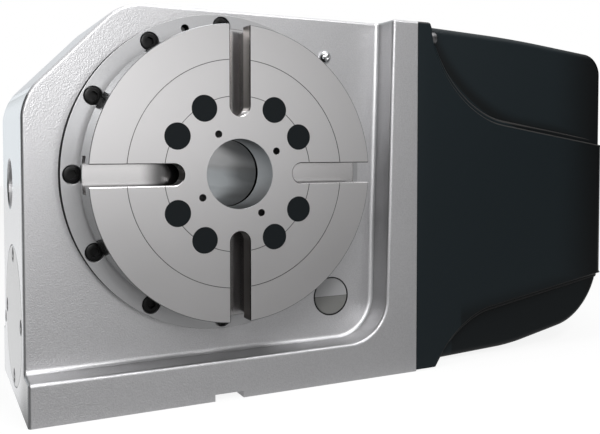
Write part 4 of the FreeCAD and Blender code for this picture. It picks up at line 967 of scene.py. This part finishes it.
def makeEndCover():
    e = endCover
    low, high = span("worm_end_cover")
    spot = nodeSpot("worm_end_cover", "X")
    radius, face, ease = (high.y - low.y) / 2, low.x, e["ease"]
    seat, skin = face + e["thick"], face + e["skin"]
    profile = [(0, face), (radius - ease, face), (radius, face + ease), (radius, seat),
               (e["spigot"], seat), (e["spigot"], high.x), (e["hollow"], high.x), (e["hollow"], skin),
               (0, skin)]
    piece = toObject(turned(profile, "X", spot, 128), "end_cover_disc")
    spots = [(spot[0] + y, spot[1] + z) for y, z in ringOf(e["ring"], e["places"])]
    shaped(piece, screwHoles(spots, e, face, face + e["wayDepth"], "X"))
    dress(piece, "base", "flange_paint", "worm_end_cover")
    headTop = span("worm_end_screws")[0].x
    makeScrews("worm_end_screws", "end_cover_screws", e["screw"], spots, headTop, "left")


sidePlug = dict(gap=0.03, ease=0.03, socket=0.42, socketDepth=0.3, socketMore=1.0)


def makeSidePlug(node, name):  # a screwed plug with a hexagon socket
    s = sidePlug
    low, high = span(node)
    spot = nodeSpot(node, "X")
    wide = high.y - low.y
    radius, ease = wide / 2 - s["gap"], wide * s["ease"]
    profile = [(0, low.x), (radius - ease, low.x), (radius, low.x + ease), (radius, high.x), (0, high.x)]
    piece = toObject(turned(profile, "X", spot, 64), name)
    corners = [(spot[0] + y, spot[1] + z) for y, z in ringOf(radius * s["socket"], 6)]
    floor = low.x + radius * s["socketDepth"] + s["socketMore"]
    shaped(piece, [slab(corners, low.x - overCut, floor, axis="X")])
    dress(piece, "base", "black_steel", node, even=False)


rear = dict(seat=131.0, hole=46.5, spigot=50.0, ease=1.0, ring=85.0, places=8, start=22.5, screw=6.0,
            wellRadius=5.45, wellDepth=6.5, wellEase=0.3, wayRadius=3.3, portRadius=5.0)


def makeRear():
    r = rear
    low, high = span("rear_cover")
    back, seat, ease, hole, wide = high.y, r["seat"], r["ease"], r["hole"], high.x
    profile = [(hole, low.y), (r["spigot"], low.y), (r["spigot"], seat), (wide, seat),
               (wide, back - ease), (wide - ease, back), (hole + ease, back), (hole, back - ease)]
    piece = toObject(turned(profile, steps=192), "rear_cover_disc")
    spots = ringOf(r["ring"], r["places"], r["start"])
    through = seat - overCut
    port = holeCutter(nodeSpot("brake_fitting", "Y"), r["portRadius"], back, through, r["wellEase"])
    shaped(piece, [*screwHoles(spots, r, back, through), port])
    dress(piece, "base", "flange_paint", "rear_cover")
    headTop = span("rear_cover_screws")[1].y
    makeScrews("rear_cover_screws", "rear_cap_screws", r["screw"], spots, headTop, "back")


fitting = dict(hexLong=6.0, trim=0.9, trimWide=3.0, trimDrop=1.6, past=0.1, stem=4.98, stemIn=0.5,
               bore=3.0, mouth=3.9, mouthDepth=0.8)


def makeFitting():  # a hexagon with eased corners on a round stem, bored through
    f = fitting
    low, high = span("brake_fitting")
    spot = nodeSpot("brake_fitting", "Y")
    step, top, across = high.y - f["hexLong"], high.y + f["past"], (high.x - low.x) / 2
    wide, below = across + f["trimWide"], low.y - overCut
    corners = [(spot[0] + x, spot[1] + z) for x, z in ringOf(across, 6)]
    piece = toObject(slab(corners, step, high.y), "hose_fitting")
    outside = turned([(across * f["trim"], top), (wide, high.y - f["trimDrop"]), (wide, top)], spot=spot)
    stem = turned(rod(f["stem"], low.y, step + f["stemIn"]), spot=spot, steps=48)
    bore = turned([(0, below), (f["bore"], below), (f["bore"], high.y - f["mouthDepth"]),
                   (f["mouth"], top), (0, top)], spot=spot, steps=48)
    shaped(piece, [outside, bore], [stem])
    dress(piece, "base", "fitting_brass", "brake_fitting", even=False)


nut = dict(bore=33.02, ease=0.8, notchHalf=3.0, notchDeep=3.0, notchStart=2.0)


def makeLockNut():
    n = nut
    low, high = span("spindle_lock_nut")
    ease, bore, outer, half = n["ease"], n["bore"], high.x, n["notchHalf"]
    profile = [(bore, low.y), (outer - ease, low.y), (outer, low.y + ease), (outer, high.y - ease),
               (outer - ease, high.y), (bore + ease, high.y), (bore, high.y - ease)]
    piece = toObject(turned(profile, steps=120), "slotted_nut")
    inner, past = outer - n["notchDeep"], outer + n["notchDeep"]
    notches = []
    for turn in (0, 90, 180, 270):
        notch = slab([(inner, -half), (past, -half), (past, half), (inner, half)],
                     low.y + n["notchStart"], high.y + overCut)
        swing(notch, turn, "Y")
        notches.append(notch)
    shaped(piece, [joined(notches)])
    dress(piece, "table", "hard_steel", "spindle_lock_nut", even=False)


makeSpindle()
makeSightGlass()
makeOiler()
makeEndCover()
makeSidePlug("side_port_plug", "port_plug")
makeSidePlug("drain_plug", "drain_screw")
makeRear()
makeFitting()
makeLockNut()
print("spindle and fittings made")

for part in frame["record"]["subparts"]:  # every node of the frame takes its finish
    node = frame["nodes"][part["node"]]
    node.data.materials.clear()
    node.data.materials.append(finishes[part["material_slot"]])
print("finishes in use:", len(finishes))


# Camera, light and floor

view = dict(place=(-0.16324, -0.4090, 0.01358), pitch=88.05, yaw=-26.21, lens=46.31, sensor=36.0,
            shiftX=-0.0008, shiftY=-0.0677)
lamps = {  # place, aim, width, height and watts
    "key": ((-0.24, -0.60, 0.30), (0.0, 0.05, -0.02), 0.22, 0.22, 1.8),
    "ceiling": ((0.05, -0.05, 0.95), (0.05, 0.05, 0.0), 0.4, 0.4, 2.2),
    "top_strip": ((0.25, -0.50, 0.62), (0.02, 0.03, -0.05), 0.60, 0.12, 1.6),
    "left_strip": ((-0.54, -0.48, 0.05), (0.10, 0.03, 0.0), 0.10, 0.60, 0.5)}
studio = dict(
    fill=0.24, dim=0.03, sides=0.17, card=1.62, backdrop=0.84, cool=(0.93, 0.975, 1.0),
    paper=(0.20, 0.20, 0.20, 1), paperSeen=0.88, paperNear=0.08, paperFar=0.80,
    floorHalf=3000, floorGap=0.1)


def makeCamera():
    data = bpy.data.cameras.new("photo_view")
    data.sensor_width = view["sensor"]
    data.lens = view["lens"]
    data.shift_x = view["shiftX"]
    data.shift_y = view["shiftY"]
    camera = placed("photo_view", data)
    camera.location = view["place"]
    camera.rotation_euler = (math.radians(view["pitch"]), 0, math.radians(view["yaw"]))
    bpy.context.scene.camera = camera


def makeLamp(name, place, aim, wide, tall, power):
    data = bpy.data.lights.new(name, "AREA")
    data.shape = "RECTANGLE"
    data.size = wide
    data.size_y = tall
    data.energy = power
    lamp = placed(name, data)
    lamp.location = place
    lamp.rotation_euler = (Vector(aim) - Vector(place)).to_track_quat("-Z", "Y").to_euler()


def rayKinds(wire):  # what the camera sees, and what metal and glass see
    names = ("Is Camera Ray", "Is Glossy Ray", "Is Transmission Ray")
    seen, gloss, through = (wire.node("LightPath", out=name) for name in names)
    return seen, higher(gloss, through)


def makeWorld():  # white backdrop and ceiling, with dimmer sides in front for the metal to show
    s = studio
    world = bpy.data.worlds.new("studio")
    world.use_nodes = True
    tree = world.node_tree
    tree.nodes.clear()
    sky = Wire(tree)
    towards = sky.node("TexCoord", out="Generated")
    x, y, z = (along(towards, axis) for axis in "XYZ")
    card = slope(x, 0.67, 0.20) * slope(x, -0.45, -0.10) * slope(y, 0.0, -0.30) * slope(z, 0.36, -0.05)
    middle = slope(x, 0.80, 0.50) * slope(x, -0.75, -0.30)
    backdrop = slope(y, 0.45, 0.75)
    sides = s["dim"] + s["sides"] * middle + s["card"] * card + s["backdrop"] * backdrop
    room = higher(sides, slope(z, 0.50, 0.80))
    seen, mirrored = rayKinds(sky)
    strength = seen + (1 - seen) * (mirrored * room + (1 - mirrored) * s["fill"])
    tint = between(mirrored * backdrop, (1, 1, 1), s["cool"])  # the backdrop is a cool white
    light = sky.node("Background", {}, {"Color": tint, "Strength": strength})
    light.feeds(tree.nodes.new("ShaderNodeOutputWorld").inputs["Surface"])
    bpy.context.scene.world = world


def makeFloor():  # grey paper that looks white to the camera and keeps the shadow
    s = studio
    bm = bmesh.new()
    bmesh.ops.create_grid(bm, x_segments=8, y_segments=8, size=s["floorHalf"])
    bmesh.ops.translate(bm, vec=(0, 0, block["base"] - s["floorGap"]), verts=bm.verts)
    floor = toObject(bm, "floor")
    material = bpy.data.materials.new("floor_paper")
    material.use_nodes = True
    tree = material.node_tree
    tree.nodes.clear()
    paper = Wire(tree)
    seen, mirrored = rayKinds(paper)
    matt = paper.node("BsdfDiffuse", {}, {"Color": s["paper"]})
    back = slope(along(paper.node("TexCoord", out="Object"), "Y"), -0.02, 0.12)
    strength = seen * s["paperSeen"] + mirrored * (s["paperNear"] + s["paperFar"] * back)
    glow = paper.node("Emission", {}, {"Color": (1, 1, 1, 1), "Strength": strength})
    both = paper.node("AddShader", {}, {0: matt, 1: glow})
    both.feeds(tree.nodes.new("ShaderNodeOutputMaterial").inputs["Surface"])
    floor.data.materials.append(material)


makeCamera()
makeWorld()
for name, lamp in lamps.items():
    makeLamp(name, *lamp)
makeFloor()
bpy.context.scene.view_settings.view_transform = "Standard"
print("camera, light and floor made")
